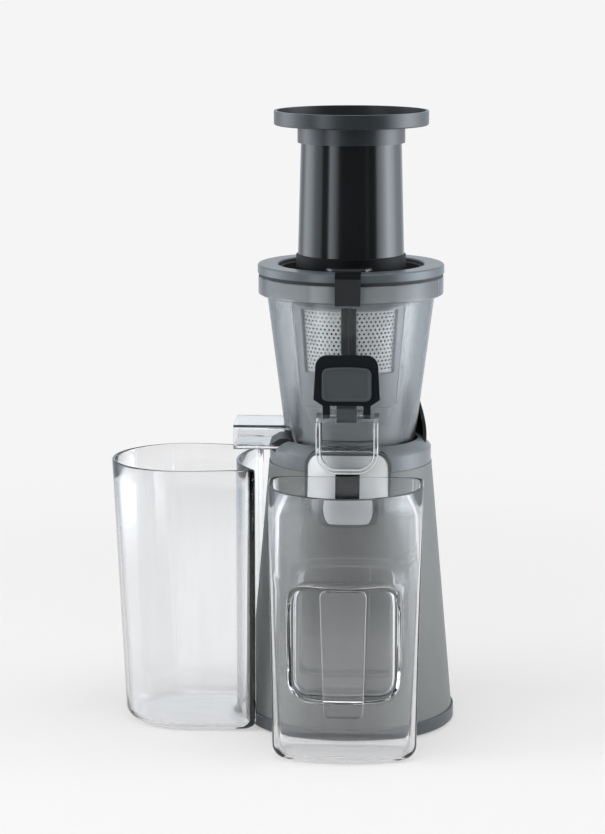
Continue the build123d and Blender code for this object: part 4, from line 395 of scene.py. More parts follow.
def brushed_metal(name, hex_colour, gloss, stretch, line_mm=0.4, depth_mm=0.003):
    """Metal with fine lines along the axes where stretch is below 1."""
    material, tree, out = new_material(name)
    place = add(tree, "TexCoord")
    drawn = add(tree, "Mapping", {"Scale": stretch}, {"Vector": place.outputs["Object"]})
    lines = add(tree, "TexNoise", {"Scale": 1 / (line_mm * MM), "Detail": 2.0}, {"Vector": drawn.outputs[0]})
    rough = add(tree, "MapRange", {"To Min": gloss + LINE_ROUGH[0], "To Max": gloss + LINE_ROUGH[1]},
                {"Value": lines.outputs[0]})
    darker, lighter = [tinted(hex_colour, change) for change in LINE_TONE]
    colour = add(tree, "MixRGB", {"Color1": darker, "Color2": lighter}, {"Fac": lines.outputs[0]})
    normal = relief(tree, (lines, depth_mm))
    skin = add(tree, "BsdfPrincipled", {"Metallic": 1.0},
               {"Base Color": colour.outputs[0], "Roughness": rough.outputs[0], "Normal": normal})
    tree.links.new(skin.outputs[0], out.inputs["Surface"])
    return material


print("metal finish ready")

# %% Metals and ferrite
# turned stainless steel of shafts and pins: bright, with fine lines
TURNED_STEEL = brushed_metal("turned_steel", "#C4C4C2", 0.24, (1, 1, 0.01))
# bead-blasted stainless sheet: it scatters light almost as evenly as paint does, so it has little Metallic
SHEET_STEEL = solid_finish("blasted_stainless_sheet", "#F0F1F1", 0.42, grain_depth_mm=0.004, Metallic=0.1)
# sand-cast aluminium alloy: pale, rough and without direction
CAST_ALUMINIUM = brushed_metal("cast_aluminium_alloy", "#B9BABA", 0.42, (1, 1, 1), 1.2, 0.02)
# pressed and sintered ferrite of the motor's magnets: dull dark grey, like slate
FERRITE = solid_finish("sintered_ferrite", "#2D2D2F", 0.6, grain_mm=0.8, grain_depth_mm=0.015)
print("metals:", TURNED_STEEL.name, SHEET_STEEL.name, CAST_ALUMINIUM.name)

# %% [markdown]
# ## Clear plastics
# The bowl and both vessels are clear copolyester, index about 1.57, moulded in solid walls of 2.4 to 3 mm. A thin
# sheet with transparency could stand for such a wall, but it wouldn't bend light. The walls are really solid in the
# model, so light bends in and out of them, and their edges look dark, as real ones do. The bowl has a smoke tint and
# is a little hazy, with faint flow streaks from moulding. A wall seen at a slant shows more of its tint, because light
# takes a longer way through it.

# %% How much an upright wall is seen at a slant
UPRIGHT_BELOW, LEVEL_ABOVE = 0.5, 0.85  # Z of the surface's direction


def slant_share(tree, slant_range):
    """0 for a wall seen square on and for a level one, up to 1 for an upright wall seen along its surface."""
    slant = add(tree, "LayerWeight", {"Blend": 0.5})
    turned = add(tree, "MapRange", {"From Min": slant_range[0], "From Max": slant_range[1],
                                    "interpolation_type": "SMOOTHSTEP"}, {"Value": slant.outputs["Facing"]})
    axes = add(tree, "SeparateXYZ", {}, {0: add(tree, "NewGeometry").outputs["Normal"]})
    level = add(tree, "Math", {"operation": "ABSOLUTE"}, {0: axes.outputs["Z"]})
    upright = add(tree, "MapRange", {"From Min": UPRIGHT_BELOW, "From Max": LEVEL_ABOVE, "To Min": 1.0, "To Max": 0.0},
                  {"Value": level.outputs[0]})
    return add(tree, "Math", {"operation": "MULTIPLY"}, {0: turned.outputs[0], 1: upright.outputs[0]}).outputs[0]


print("walls steeper than", round(90 - asin(UPRIGHT_BELOW) * 180 / pi), "degrees count as upright")

# %% One function for transparent mouldings
STREAK_MM, STREAK_STRETCH, STREAK_DEPTH_MM = 9.0, 5, 0.01
HAZE_LEAST, HAZE_MOST = 0.7, 1.4  # how haze changes over a streak


def clear_plastic(name, hex_colour, haze, clarity=1.0, slant_colour=None, slant_range=(0.12, 0.5), slant_haze=0.0,
                  mirror=1.0, ior=1.57, tone=0.03):
    """Transparent moulding: tint of a wall seen square on, haze as roughness, and clarity, the share of light that
    isn't scattered. An upright wall seen at a slant has its own tint and haze. mirror is the share of a polished
    wall's reflection that is kept; below 1 it paints the reflection dimmer than the plastic would show it."""
    material, tree, out = new_material(name)
    place = add(tree, "TexCoord")
    drawn = add(tree, "Mapping", {"Scale": (1, 1, 1 / STREAK_STRETCH)}, {"Vector": place.outputs["Object"]})
    streak = add(tree, "TexNoise", {"Scale": 1 / (STREAK_MM * MM), "Detail": 2.0}, {"Vector": drawn.outputs[0]})
    colour = add(tree, "MixRGB", {"Color1": tinted(hex_colour, -tone), "Color2": tinted(hex_colour, tone)},
                 {"Fac": streak.outputs[0]})
    rough = add(tree, "MapRange", {"To Min": haze * HAZE_LEAST, "To Max": haze * HAZE_MOST},
                {"Value": streak.outputs[0]})
    if slant_colour:
        share = slant_share(tree, slant_range)
        colour = add(tree, "MixRGB", {"Color2": paint(slant_colour)}, {"Fac": share, "Color1": colour.outputs[0]})
        blurred = add(tree, "Math", {"operation": "MULTIPLY", 1: slant_haze}, {0: share})
        rough = add(tree, "Math", {"operation": "ADD"}, {0: rough.outputs[0], 1: blurred.outputs[0]})
    normal = relief(tree, (streak, STREAK_DEPTH_MM))
    skin = add(tree, "BsdfPrincipled", {"IOR": ior, "Transmission Weight": clarity,
                                        "Specular Tint": (mirror, mirror, mirror, 1)},
               {"Base Color": colour.outputs[0], "Roughness": rough.outputs[0], "Normal": normal})
    tree.links.new(skin.outputs[0], out.inputs["Surface"])
    return material


print("transparent finish ready")

# %% Clear and smoked plastics
# copolyester with a smoke tint: grey where the bowl's wall turns away, and a little hazy there. Its reflection is
# painted down to 0.4 of a polished wall's
SMOKE_BOWL = clear_plastic("smoke_copolyester", "#F0F2F3", 0.03, 0.985, "#858B8F", slant_haze=0.24, mirror=0.4)
# the strainer's frame is moulded in a cloudier grade: milky, so its ribs show through the bowl
STRAINER_SMOKE = clear_plastic("smoke_strainer_plastic", "#BEC3C6", 0.35, 0.35)
# copolyester without tint: the vessels are seen mostly by their dark edges. The grey-blue given to walls seen at a
# slant is painted shade standing for those dark edges
VESSEL_CLEAR = clear_plastic("clear_copolyester", "#FAFBFC", 0.02, 1.0, "#6B6D76", (0.6, 0.9))
# painted highlight for the edges of a clear wall: a nearly white, dim, milky plastic that stands for the light a clear
# wall gathers and lets out there
EDGE_PAINTED_HIGHLIGHT = clear_plastic("painted_edge_highlight", "#FDFEFE", 0.3, 0.15)
# pale grey, frosted copolyester for a band in the bowl's rim
FROSTED_RIM = clear_plastic("frosted_copolyester", "#B9BEC1", 0.5, 0.3)
print("clear plastics:", SMOKE_BOWL.name, STRAINER_SMOKE.name, VESSEL_CLEAR.name)

# %% [markdown]
# ## Each piece gets its finish
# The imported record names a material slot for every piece. Finishes could be given piece by piece, but pieces of one
# slot are made of one stuff. So one table turns the slot into a finish, and a second one holds the few pieces whose
# surface differs from the rest of their slot.

# %% Finishes by slot
FINISH = {
    "rubber_grip": FOOT_RUBBER, "dark_trim": FOOT_GREY, "black_plastic": BLACK_SATIN, "silver_body": SILVER_LACQUER,
    "bright_plate": PLATE_LACQUER, "steel": TURNED_STEEL, "steel_mesh": SHEET_STEEL, "ferrite": FERRITE,
    "gear_plastic": ACETAL, "gear_case": FILLED_NYLON, "cast_aluminium": CAST_ALUMINIUM, "silicone": BLACK_SILICONE,
    "cap_silicone": CAP_SILICONE, "smoke_plastic": SMOKE_BOWL, "strainer_plastic": STRAINER_SMOKE,
    "auger_plastic": SCREW_PLASTIC, "black_gloss": BLACK_GLOSS, "silver_trim": RING_LACQUER,
    "tray_plastic": TRAY_GREY, "clear_plastic": VESSEL_CLEAR,
}
PIECE_FINISH = {
    "collar_ring": COLLAR_GREY, "bowl_seat": BLACK_GLOSS, "rocker_button": BLACK_GLOSS, "lid": LID_BLACK,
    "pulp_plug": BLACK_SATIN,
}
slot_of = {part["node"]: part["material_slot"] for part in frame["record"]["subparts"]}
for name, piece in NODES.items():
    finish = PIECE_FINISH.get(name, FINISH[slot_of[name]])
    for place in piece.material_slots:
        place.material = finish
print("finished", len(NODES), "pieces with", len(FINISH) + len(PIECE_FINISH), "rules")

# %% [markdown]
# ## From loops of corners to a piece
# The pieces below are drawn as loops of corners: each loop is one line round the piece, and rows of four-sided faces
# join it to the next. Modifiers on a simple box could come close, but loops say exactly where a wall turns. A few
# helpers do the common work.

# %% Helpers for loops
def between(low, high, share):
    """Value at a share of the way from low to high."""
    return low + (high - low) * share


def steps(start, end, count):
    """Evenly spaced values from start up to, but not including, end."""
    return [between(start, end, n / count) for n in range(count)]


def stitch(shape, loops, skip=None):
    """Rows of faces between loops that follow each other. skip says which cells stay open."""
    for row, (near, far) in enumerate(zip(loops, loops[1:])):
        for column in range(len(near)):
            if skip and skip(row, column):
                continue
            after = (column + 1) % len(near)
            shape.faces.new((near[column], near[after], far[after], far[column]))


def as_object(shape, name, finish, smooth=True):
    """Object from a bmesh whose faces all look outwards, with a finish."""
    bmesh.ops.recalc_face_normals(shape, faces=shape.faces)
    mesh = bpy.data.meshes.new(name)
    shape.to_mesh(mesh)
    shape.free()
    mesh.materials.append(finish)
    for face in mesh.polygons:
        face.use_smooth = smooth
    piece = bpy.data.objects.new(name, mesh)
    SCENE.collection.objects.link(piece)
    return piece


print("a quarter turn in 3 steps:", [round(a, 2) for a in steps(0, pi / 2, 3)])

# %% [markdown]
# ## Perforated strainer sheet
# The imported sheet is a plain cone. The real one has staggered round holes: a hole every 3.2 mm along a row, and rows
# 2.8 mm apart. A Boolean per hole would be slow, and a see-through pattern would show no thickness. So each hole sits
# in a hexagonal cell of faces. The cells are laid flat, in half pitches and millimetres, and each corner is then
# wrapped round the cone. Corners that neighbours share are merged, and a Solidify modifier gives the sheet its
# thickness.

# %% Cone of the sheet
SHEET_LOW_R, SHEET_HIGH_R = 33.85, 39.85  # outside radius where the cone starts and ends
SHEET_LOW_Z, SHEET_HIGH_Z = 217.0, 303.0
HOLES_ROUND = 75


def on_cone(half_pitches, z):
    """Point of the cone's outside at a number of half pitches round, and a height."""
    share = max(z - SHEET_LOW_Z, 0) / (SHEET_HIGH_Z - SHEET_LOW_Z)
    radius = between(SHEET_LOW_R, SHEET_HIGH_R, share)
    angle = pi * half_pitches / HOLES_ROUND
    return Vector((radius * cos(angle), radius * sin(angle), z)) * MM


print("cone from", SHEET_LOW_R, "to", SHEET_HIGH_R, "mm")

# %% Punch the sheet
SHEET_HEM_Z = 215.0
HOLE_R = 0.82
ROW_STEP = 2.8
FIRST_ROW_Z, HOLE_ROWS = 259.6, 15
RING_CORNERS = 12
CELL_SHORT, CELL_TALL = ROW_STEP / 3, ROW_STEP * 2 / 3  # heights of a cell's corners above its middle
CELL = [(1, CELL_SHORT), (0, CELL_TALL), (-1, CELL_SHORT), (-1, -CELL_SHORT), (0, -CELL_TALL), (1, -CELL_SHORT)]
SAME_CORNER_MM = 0.02


def punch_rows(sheet):
    """Rows of cells, each with a round hole."""
    for row in range(HOLE_ROWS):
        z = FIRST_ROW_Z + row * ROW_STEP
        reach = pi / HOLES_ROUND * hypot(*on_cone(0, z).xy) / MM
        for k in range(HOLES_ROUND):
            middle = 2 * k + row % 2
            corners = [sheet.verts.new(on_cone(middle + s, z + dz)) for s, dz in CELL]
            ring = []
            for n in range(RING_CORNERS):
                turn = 2 * pi * n / RING_CORNERS + radians(30)
                ring.append(sheet.verts.new(on_cone(middle + HOLE_R * cos(turn) / reach, z + HOLE_R * sin(turn))))
            for side in range(6):
                n = 2 * side
                rim = [ring[(n + 2) % RING_CORNERS], ring[n + 1], ring[n]]
                sheet.faces.new([corners[side], corners[(side + 1) % 6], *rim])


def add_hem(sheet, row, levels, sign):
    """Plain band from the zigzag edge of a row of cells down or up to some levels."""
    z = FIRST_ROW_Z + row * ROW_STEP
    for s in range(2 * HOLES_ROUND):
        ends = [CELL_TALL if (s + step - row) % 2 == 0 else CELL_SHORT for step in (0, 1)]
        low, high = [on_cone(s + step, z + sign * ends[step]) for step in (0, 1)]
        for level in levels:
            far, near = on_cone(s + 1, level), on_cone(s, level)
            quad = [sheet.verts.new(p) for p in (low, high, far, near)]
            sheet.faces.new(quad if sign < 0 else quad[::-1])
            low, high = near, far


sheet = bmesh.new()
punch_rows(sheet)
add_hem(sheet, 0, [SHEET_LOW_Z, SHEET_HEM_Z], -1)
add_hem(sheet, HOLE_ROWS - 1, [SHEET_HIGH_Z], 1)
bmesh.ops.remove_doubles(sheet, verts=sheet.verts, dist=SAME_CORNER_MM * MM)
print("sheet:", HOLES_ROUND * HOLE_ROWS, "holes,", len(sheet.faces), "faces")

# %% Give the sheet its thickness
SHEET_THICK = 0.6

strainer_sheet = as_object(sheet, "strainer_sheet", SHEET_STEEL, smooth=False)
thickness = strainer_sheet.modifiers.new("sheet_thickness", "SOLIDIFY")
thickness.thickness = SHEET_THICK * MM
thickness.offset = -1
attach(strainer_sheet, "bowl")
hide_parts("strainer_mesh")
print("sheet", SHEET_THICK, "mm thick")

# %% [markdown]
# ## Clear vessels
# The jug and the pulp container are smooth mouldings: a wall of even thickness, a foot that rounds into the floor, and
# a rim with no sharp edge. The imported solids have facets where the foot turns, and clear plastic shows every facet
# twice. Smoothing them with a modifier would thin the walls. So each vessel is built again as one closed skin from the
# same sizes: the outline is drawn at a height and an inset, and a profile of heights and insets leads it up the
# outside, over the rim and down inside.

# %% Sizes and curves of the vessels
RIM_Z, WALL, FLOOR_Z = 189.5, 2.4, 3.0
JUG_FOOT = {"half": 49.4, "back": -78.0, "side": -112.0, "front": -124.0}
JUG_RIM = {"half": 53.2, "back": -66.0, "side": -96.0, "front": -143.5}
PULP_FOOT, PULP_RIM = {"half": 49.0, "far": -161.5}, {"half": 54.5, "far": -170.5}


def bend(x, y, radius, start, end, count):
    """Points round a corner, with angles from the -Y direction towards +X."""
    return [(x + radius * sin(a), y - radius * cos(a)) for a in steps(start, end, count)]


def curve(start, corner, end, shares):
    """Points, at shares of the way, of a curve from start to end that leans towards a corner."""
    return [start * (1 - t) ** 2 + corner * 2 * t * (1 - t) + end * t * t for t in shares]


def arc_radius(half, sag):
    """Radius of an arc from half its width and its height."""
    return (half * half + sag * sag) / (2 * sag)


print("rim at", RIM_Z, "mm, wall", WALL, "mm")

# %% Outline of the jug
JUG_CORNER = 9.0
WINDOW_SHARE = 0.97  # of the jug's front arc, where the finger well opens
WINDOW_FIRST, WINDOW_COLUMNS = 2, 24  # columns of faces beside the well and across it


def jug_size(z, inset):
    """Half width, back, and radius and middle of the front arc, at a height and an inset."""
    half, back, side, front = [between(JUG_FOOT[key], JUG_RIM[key], z / RIM_Z) for key in JUG_FOOT]
    half, back, front = half - inset, back - inset, front + inset
    radius = arc_radius(half, side - front)
    return half, back, radius, front + radius


def jug_outline(z, inset):
    """Points of the jug's outline: front arc first, then round by the right side and the back. The counts set how
    finely each stretch is drawn."""
    half, back, radius, middle = jug_size(z, inset)
    corner, rear = JUG_CORNER, JUG_CORNER - inset / 2
    drop = sqrt((radius - corner) ** 2 - (half - corner) ** 2)
    reach = atan2(half - corner, drop)
    shares = steps(-1, -WINDOW_SHARE, WINDOW_FIRST) + steps(-WINDOW_SHARE, WINDOW_SHARE, WINDOW_COLUMNS)
    shares += steps(WINDOW_SHARE, 1, WINDOW_FIRST)
    front = [(radius * sin(f * reach), middle - radius * cos(f * reach)) for f in shares]
    right = bend(half - corner, middle - drop, corner, reach, pi / 2, 8)
    right += [(half, y) for y in steps(middle - drop, back - rear, 6)]
    right += bend(half - rear, back - rear, rear, pi / 2, pi, 8)
    rest = [(x, back) for x in steps(half - rear, 0, 5)]
    left = [(-x, y) for x, y in (right + rest)[:0:-1]]
    return front + right + rest + [(0.0, back)] + left


print("jug outline:", len(jug_outline(50, 0)), "points")

# %% Outline of the pulp container
PULP_NEAR_R, PULP_NEAR_HALF = 79.0, 47.0  # the hollow side that faces the base
PULP_SIDE_X = -112.0
HORN_FROM, HORN_LONG = 0.92, 4.0  # share of the hollow where its tip starts to round, and millimetres past the tip
CORNER_FROM, CORNER_TO = 0.72, 0.86  # shares of the flank and of the far arc between which the corner rounds


def pulp_outline(z, inset):
    """Points of the pulp container's outline: the hollow side that faces the base, then round the far side. One half is
    drawn and then mirrored."""
    half, far = [between(PULP_FOOT[key], PULP_RIM[key], z / RIM_Z) for key in PULP_FOOT]
    half, far, near_r, near_half = half - inset, far + inset, PULP_NEAR_R + inset, PULP_NEAR_HALF - inset
    open_half = atan2(near_half, sqrt(near_r ** 2 - near_half ** 2))
    hollow = [(-near_r * cos(a), near_r * sin(a)) for a in steps(0, open_half * HORN_FROM, 14)]
    before, horn = [Vector((-near_r * cos(a), near_r * sin(a))) for a in (open_half * HORN_FROM, open_half)]
    shoulder = Vector((PULP_SIDE_X, half))
    after = horn + (shoulder - horn).normalized() * HORN_LONG
    tip = [tuple(p) for p in curve(before, horn, after, steps(0, 1, 8))]
    flank = [tuple(after.lerp(shoulder, t)) for t in steps(0, CORNER_FROM, 6)]
    sag = PULP_SIDE_X - far
    radius = arc_radius(half, sag)
    middle, turn = far + radius, atan2(half, radius - sag) * CORNER_TO
    leave = Vector((middle - radius * cos(turn), radius * sin(turn)))
    corner = [tuple(p) for p in curve(after.lerp(shoulder, CORNER_FROM), shoulder, leave, steps(0, 1, 8))]
    end = [(middle - radius * cos(a), radius * sin(a)) for a in steps(turn, 0, 22)]
    upper = hollow + tip + flank + corner + end
    return upper + [(far, 0.0)] + [(x, -y) for x, y in upper[:0:-1]]


print("pulp outline:", len(pulp_outline(50, 0)), "points")

# %% Skin of a vessel
def wall_profile(foot_round, heights):
    """Heights and insets that lead up the outside, over the rim and down inside."""
    quarter = steps(0, pi / 2, 8)
    outside = [(foot_round * (1 - cos(a)), foot_round * (1 - sin(a))) for a in quarter]
    outside += [(z, 0.0) for z in [foot_round, *heights]]
    lip = WALL / 2
    rim = [(RIM_Z - lip + lip * sin(a), lip - lip * cos(a)) for a in steps(0, pi, 6)]
    small = foot_round - WALL
    inside = [(z, WALL) for z in [RIM_Z - lip, *heights[::-1], foot_round]]
    inside += [(FLOOR_Z + small * (1 - cos(a)), WALL + small * (1 - sin(a))) for a in quarter[::-1]]
    return outside + rim + inside


def vessel_skin(outline, profile, skip=None):
    """Closed skin of a vessel, and its rings of corners. skip says which cells stay open."""
    skin = bmesh.new()
    rings = [[skin.verts.new(Vector((x, y, z)) * MM) for x, y in outline(z, inset)] for z, inset in profile]
    stitch(skin, rings, skip)
    skin.faces.new(rings[0])
    skin.faces.new(rings[-1])
    return skin, rings


print("profile of a low vessel:", len(wall_profile(8.0, [])), "levels")

# %% Pulp container
PULP_FOOT_ROUND = 8.0
PULP_HEIGHTS = [20, 60, 100, 140, 175]

pulp_skin, _ = vessel_skin(pulp_outline, wall_profile(PULP_FOOT_ROUND, PULP_HEIGHTS))
pulp_vessel = as_object(pulp_skin, "pulp_vessel", VESSEL_CLEAR)
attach(pulp_vessel, "pulp_bin")
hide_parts("pulp_container")
print("pulp vessel:", len(pulp_vessel.data.polygons), "faces")

# %% [markdown]
# ## Finger well of the jug
# The front of the jug is pushed in to make room for the fingers. A Boolean could cut the hollow, but would leave hard
# edges, and clear plastic shows those most. So skin and hollow are one surface: the grid of the wall leaves a window
# open, and loops lead from the window's edge over a soft lip, down the hollow's side and round into its flat back. The
# inside of the jug follows with the same loops, a wall thickness larger.

# %% Window in the wall
JUG_FOOT_ROUND = 10.0
WINDOW_Z = (41.0, 130.0)
WINDOW_ROWS = 12
JUG_HEIGHTS = [20, 30, *[between(*WINDOW_Z, n / WINDOW_ROWS) for n in range(WINDOW_ROWS + 1)], 142, 156, 172]
JUG_PROFILE = wall_profile(JUG_FOOT_ROUND, JUG_HEIGHTS)
NEARLY = 0.01


def in_window(z):
    """True for a height within the window."""
    return WINDOW_Z[0] - NEARLY <= z <= WINDOW_Z[1] + NEARLY


def open_window(row, column):
    """True for the cells of the jug's wall where the finger well opens."""
    inside = in_window(JUG_PROFILE[row][0]) and in_window(JUG_PROFILE[row + 1][0])
    return inside and WINDOW_FIRST <= column < WINDOW_FIRST + WINDOW_COLUMNS


jug_skin, jug_rings = vessel_skin(jug_outline, JUG_PROFILE, open_window)
print("window of", WINDOW_ROWS, "by", WINDOW_COLUMNS, "cells")

# %% Rectangle with round corners
def soft_box_point(a, b, half_wide, half_tall, corner):
    """Point and outward direction on a rectangle with round corners, for a point of the unit square's edge."""
    x, z = a * half_wide, b * half_tall
    wide, tall = half_wide - corner, half_tall - corner
    near = Vector((min(max(x, -wide), wide), min(max(z, -tall), tall)))
    out = (Vector((x, z)) - near).normalized()
    return near + out * corner, out


def square_edge(across, upright):
    """Points round the edge of the unit square, from its lower left corner."""
    half_way = [(a, -1.0) for a in steps(-1, 1, across)] + [(1.0, b) for b in steps(-1, 1, upright)]
    return half_way + [(-a, -b) for a, b in half_way]


corner_point, _ = soft_box_point(1, 1, 20, 10, 5)
print("a 40 x 20 mm rectangle with 5 mm corners reaches", [round(v, 1) for v in corner_point], "there")

# %% Way from the jug's front into the hollow
WELL_Z = (47.0, 124.0)
WELL_BACK_HALF, WELL_MOUTH_HALF = 34.0, 44.6
WELL_BACK_Y, WELL_MOUTH_Y = -112.8, -145.8
WELL_CORNERS = (20.0, 10.0)  # at the mouth and at the back
HALVINGS = 30


def front_y(x, z, inset):
    """Y of the jug's front face."""
    _, _, radius, middle = jug_size(z, inset)
    return middle - sqrt(radius * radius - x * x)


def well_path(a, b, grow, lip, floor_round):
    """Points from the front face to the back of the hollow, for a point of the unit square's edge. grow makes the
    hollow larger, lip and floor_round are the roundings at its mouth and at its back."""
    middle, tall = sum(WELL_Z) / 2, (WELL_Z[1] - WELL_Z[0]) / 2 + grow
    back_y = WELL_BACK_Y + grow
    deep = back_y - WELL_MOUTH_Y
    mouth, out = soft_box_point(a, b, WELL_MOUTH_HALF + grow, tall, WELL_CORNERS[0] + grow)
    back, _ = soft_box_point(a, b, WELL_BACK_HALF + grow, tall, WELL_CORNERS[1] + grow)

    def on_side(u):
        flat = mouth.lerp(back, u)
        return Vector((flat.x, between(WELL_MOUTH_Y, back_y, u), flat.y + middle))

    low, high = 0.0, 1.0
    for _ in range(HALVINGS):  # closes in on where the hollow's side meets the front face
        u = (low + high) / 2
        point = on_side(u)
        low, high = (u, high) if point.y < front_y(point.x, point.z, grow) else (low, u)
    edge = on_side(low)
    start = Vector((edge.x + lip * out.x, 0, edge.z + lip * out.y))
    start.y = front_y(start.x, start.z, grow)
    turned_in, turned_down = low + lip / deep, 1 - floor_round / deep
    path = curve(start, edge, on_side(turned_in), (0, 0.25, 0.5, 0.75, 1))
    path += [on_side(between(turned_in, turned_down, n / 4)) for n in (1, 2, 3, 4)]
    corner = on_side(1.0)
    flat = corner - Vector((out.x, 0, out.y)) * floor_round
    return path + curve(path[-1], corner, flat, (0.25, 0.5, 0.75)) + [flat]


print("hollow", round(WELL_BACK_Y - JUG_RIM["front"], 1), "mm behind the rim's front")

# %% Join the hollow to the wall
WELL_ROUNDS = {0.0: (1.8, 3.0), WALL: (1.2, 2.0)}  # at the mouth and at the back, outside and inside the jug


def join_well(skin, rings, inset):
    """Loops of faces from the window's edge in the wall to the back of the hollow."""
    rows = [n for n, (z, edge) in enumerate(JUG_PROFILE) if edge == inset and in_window(z)]
    rows.sort(key=lambda n: JUG_PROFILE[n][0])
    first, last = WINDOW_FIRST, WINDOW_FIRST + WINDOW_COLUMNS
    around = [(rows[0], c) for c in range(first, last)] + [(r, last) for r in rows[:-1]]
    around += [(rows[-1], c) for c in range(last, first, -1)] + [(r, first) for r in rows[:0:-1]]
    paths = []
    for row, column in around:
        a = 2 * (column - first) / WINDOW_COLUMNS - 1
        b = 2 * (JUG_PROFILE[row][0] - WINDOW_Z[0]) / (WINDOW_Z[1] - WINDOW_Z[0]) - 1
        paths.append(well_path(a, b, inset, *WELL_ROUNDS[inset]))
    loops = [[rings[r][c] for r, c in around]]
    loops += [[skin.verts.new(path[level] * MM) for path in paths] for level in range(len(paths[0]))]
    stitch(skin, loops)
    skin.faces.new(loops[-1])


join_well(jug_skin, jug_rings, 0.0)
join_well(jug_skin, jug_rings, WALL)
clear_jug = as_object(jug_skin, "clear_jug", VESSEL_CLEAR)
print("jug without strap:", len(clear_jug.data.polygons), "faces")

# %% [markdown]
# ## Strap of the jug
# An upright strap bridges the hollow, and fingers close round it. It is a bar with rounded edges and a slightly bowed
# front. Its loops could be woven into the grid of the well, but the two meet at odd angles. A Boolean modifier joins
# them instead, and its result becomes the jug's own mesh. The large flat faces that it leaves have many corners. They
# stay flat, because shading them as round would bend the light.

# %% Bar of the strap
STRAP_Z = (34.0, 126.0)
STRAP_HALF = (13.4, 16.0)  # half width at the bottom and at the top
STRAP_PROUD, STRAP_THICK, STRAP_CORNER, STRAP_EDGE, STRAP_BOW = 1.5, 4.5, 5.0, 1.2, 1.4


def strap_bar():
    """Upright bar with rounded edges and a slightly bowed front, as loops from its front to its back."""
    bar = bmesh.new()
    middle, tall = sum(STRAP_Z) / 2, (STRAP_Z[1] - STRAP_Z[0]) / 2
    quarter = [pi / 2 * n / 4 for n in range(5)]
    layers = [(STRAP_EDGE * (1 - sin(a)), STRAP_EDGE * (1 - cos(a)), 1.0) for a in quarter]
    back = [(inset, STRAP_THICK - depth, 1.0) for inset, depth, _ in layers[::-1]]
    face = [(STRAP_EDGE, 0.0, share) for share in (0.15, 0.4, 0.6, 0.8, 0.93)]  # smaller loops that fill the front
    loops = []
    for inset, depth, share in face + layers + back:
        loop = []
        for a, b in square_edge(12, 24):
            flat, _ = soft_box_point(a, b, STRAP_HALF[1] - inset, tall - inset, STRAP_CORNER - inset)
            z = middle + (flat.y * (share + 4) / 5 if share < 1 else flat.y)
            widening = between(*STRAP_HALF, (z - STRAP_Z[0]) / (STRAP_Z[1] - STRAP_Z[0])) / STRAP_HALF[1]
            x = flat.x * share * widening
            bow = STRAP_BOW * (x / STRAP_HALF[1]) ** 2 if depth < STRAP_THICK / 2 else 0.0
            lean = between(JUG_FOOT["front"], JUG_RIM["front"], z / RIM_Z)
            loop.append(bar.verts.new(Vector((x, lean - STRAP_PROUD + depth + bow, z)) * MM))
        loops.append(loop)
    stitch(bar, loops)
    bar.faces.new(loops[0])
    bar.faces.new(loops[-1])
    return bar


strap = as_object(strap_bar(), "jug_strap", VESSEL_CLEAR)
print("strap:", len(strap.data.polygons), "faces")

# %% Join the strap to the jug
SHARP_JUG = radians(32)
MANY_CORNERS = 9

join = clear_jug.modifiers.new("join_strap", "BOOLEAN")
join.operation, join.solver, join.object = "UNION", "EXACT", strap
bpy.context.view_layer.update()
joined = bpy.data.meshes.new_from_object(clear_jug.evaluated_get(bpy.context.evaluated_depsgraph_get()))
clear_jug.modifiers.clear()
clear_jug.data = joined
joined.set_sharp_from_angle(angle=SHARP_JUG)
for face in joined.polygons:
    face.use_smooth = len(face.vertices) < MANY_CORNERS
bpy.data.objects.remove(strap)
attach(clear_jug, "jug")
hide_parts("juice_jug")
check = bmesh.new()
check.from_mesh(joined)
print("jug:", len(joined.polygons), "faces, open edges", sum(not e.is_manifold for e in check.edges))
check.free()

# %% [markdown]
# ## Lip of the spout, with painted highlights
# Clear plastic gathers light and lets it out at its edges, so both edges of the spout's wall look bright. The renderer
# could find this by itself only with far more bounces of light. So a fine pale bead along each edge paints that bright
# line instead: a painted highlight. The beads stand 0.12 mm proud, less than the gap that the shut cap leaves.

# %% A bead along a path
BEAD_CORNERS = 16


def bead(path, half_wide, half_deep, name, finish):
    """Bead with an oval section along a path of points, each with the directions of its width and its depth."""
    skin = bmesh.new()
    turns = [2 * pi * n / BEAD_CORNERS for n in range(BEAD_CORNERS)]
    loops = [[skin.verts.new((
        Vector(point) + Vector(wide) * half_wide * cos(t) + Vector(deep) * half_deep * sin(t)
    ) * MM) for t in turns] for point, wide, deep in path]
    stitch(skin, loops)
    skin.faces.new(loops[0])
    skin.faces.new(loops[-1])
    return as_object(skin, name, finish)


print("bead section has", BEAD_CORNERS, "corners")

# %% Highlight beads along the spout's end
SPOUT_Y, SPOUT_HALF, SPOUT_LOW, SPOUT_HIGH, SPOUT_CORNER = -72.0, 21.6, 192.0, 228.0, 15.0
SPOUT_WALL = 3.4
LIP_HALF_WIDE, LIP_HALF_DEEP, LIP_PROUD = 0.42, 0.5, 0.12
LIP_INSET = 0.5  # from either face of the wall


def spout_path(inset):
    """Line in the end of the spout's wall, down the left side, round the bottom and up the right side."""
    half, low, corner = SPOUT_HALF - inset, SPOUT_LOW + inset, SPOUT_CORNER - inset
    y = SPOUT_Y + LIP_HALF_DEEP - LIP_PROUD
    right = [((half - corner + corner * sin(a), y, low + corner * (1 - cos(a))), (sin(a), 0, -cos(a)))
             for a in steps(0, pi / 2, 12)]
    right += [((half, y, z), (1, 0, 0)) for z in (low + corner, between(low + corner, SPOUT_HIGH, 0.5), SPOUT_HIGH)]
    left = [((-x, y, z), (-out_x, 0, out_z)) for (x, y, z), (out_x, _, out_z) in right[::-1]]
    return [(point, wide, (0, 1, 0)) for point, wide in left + right]


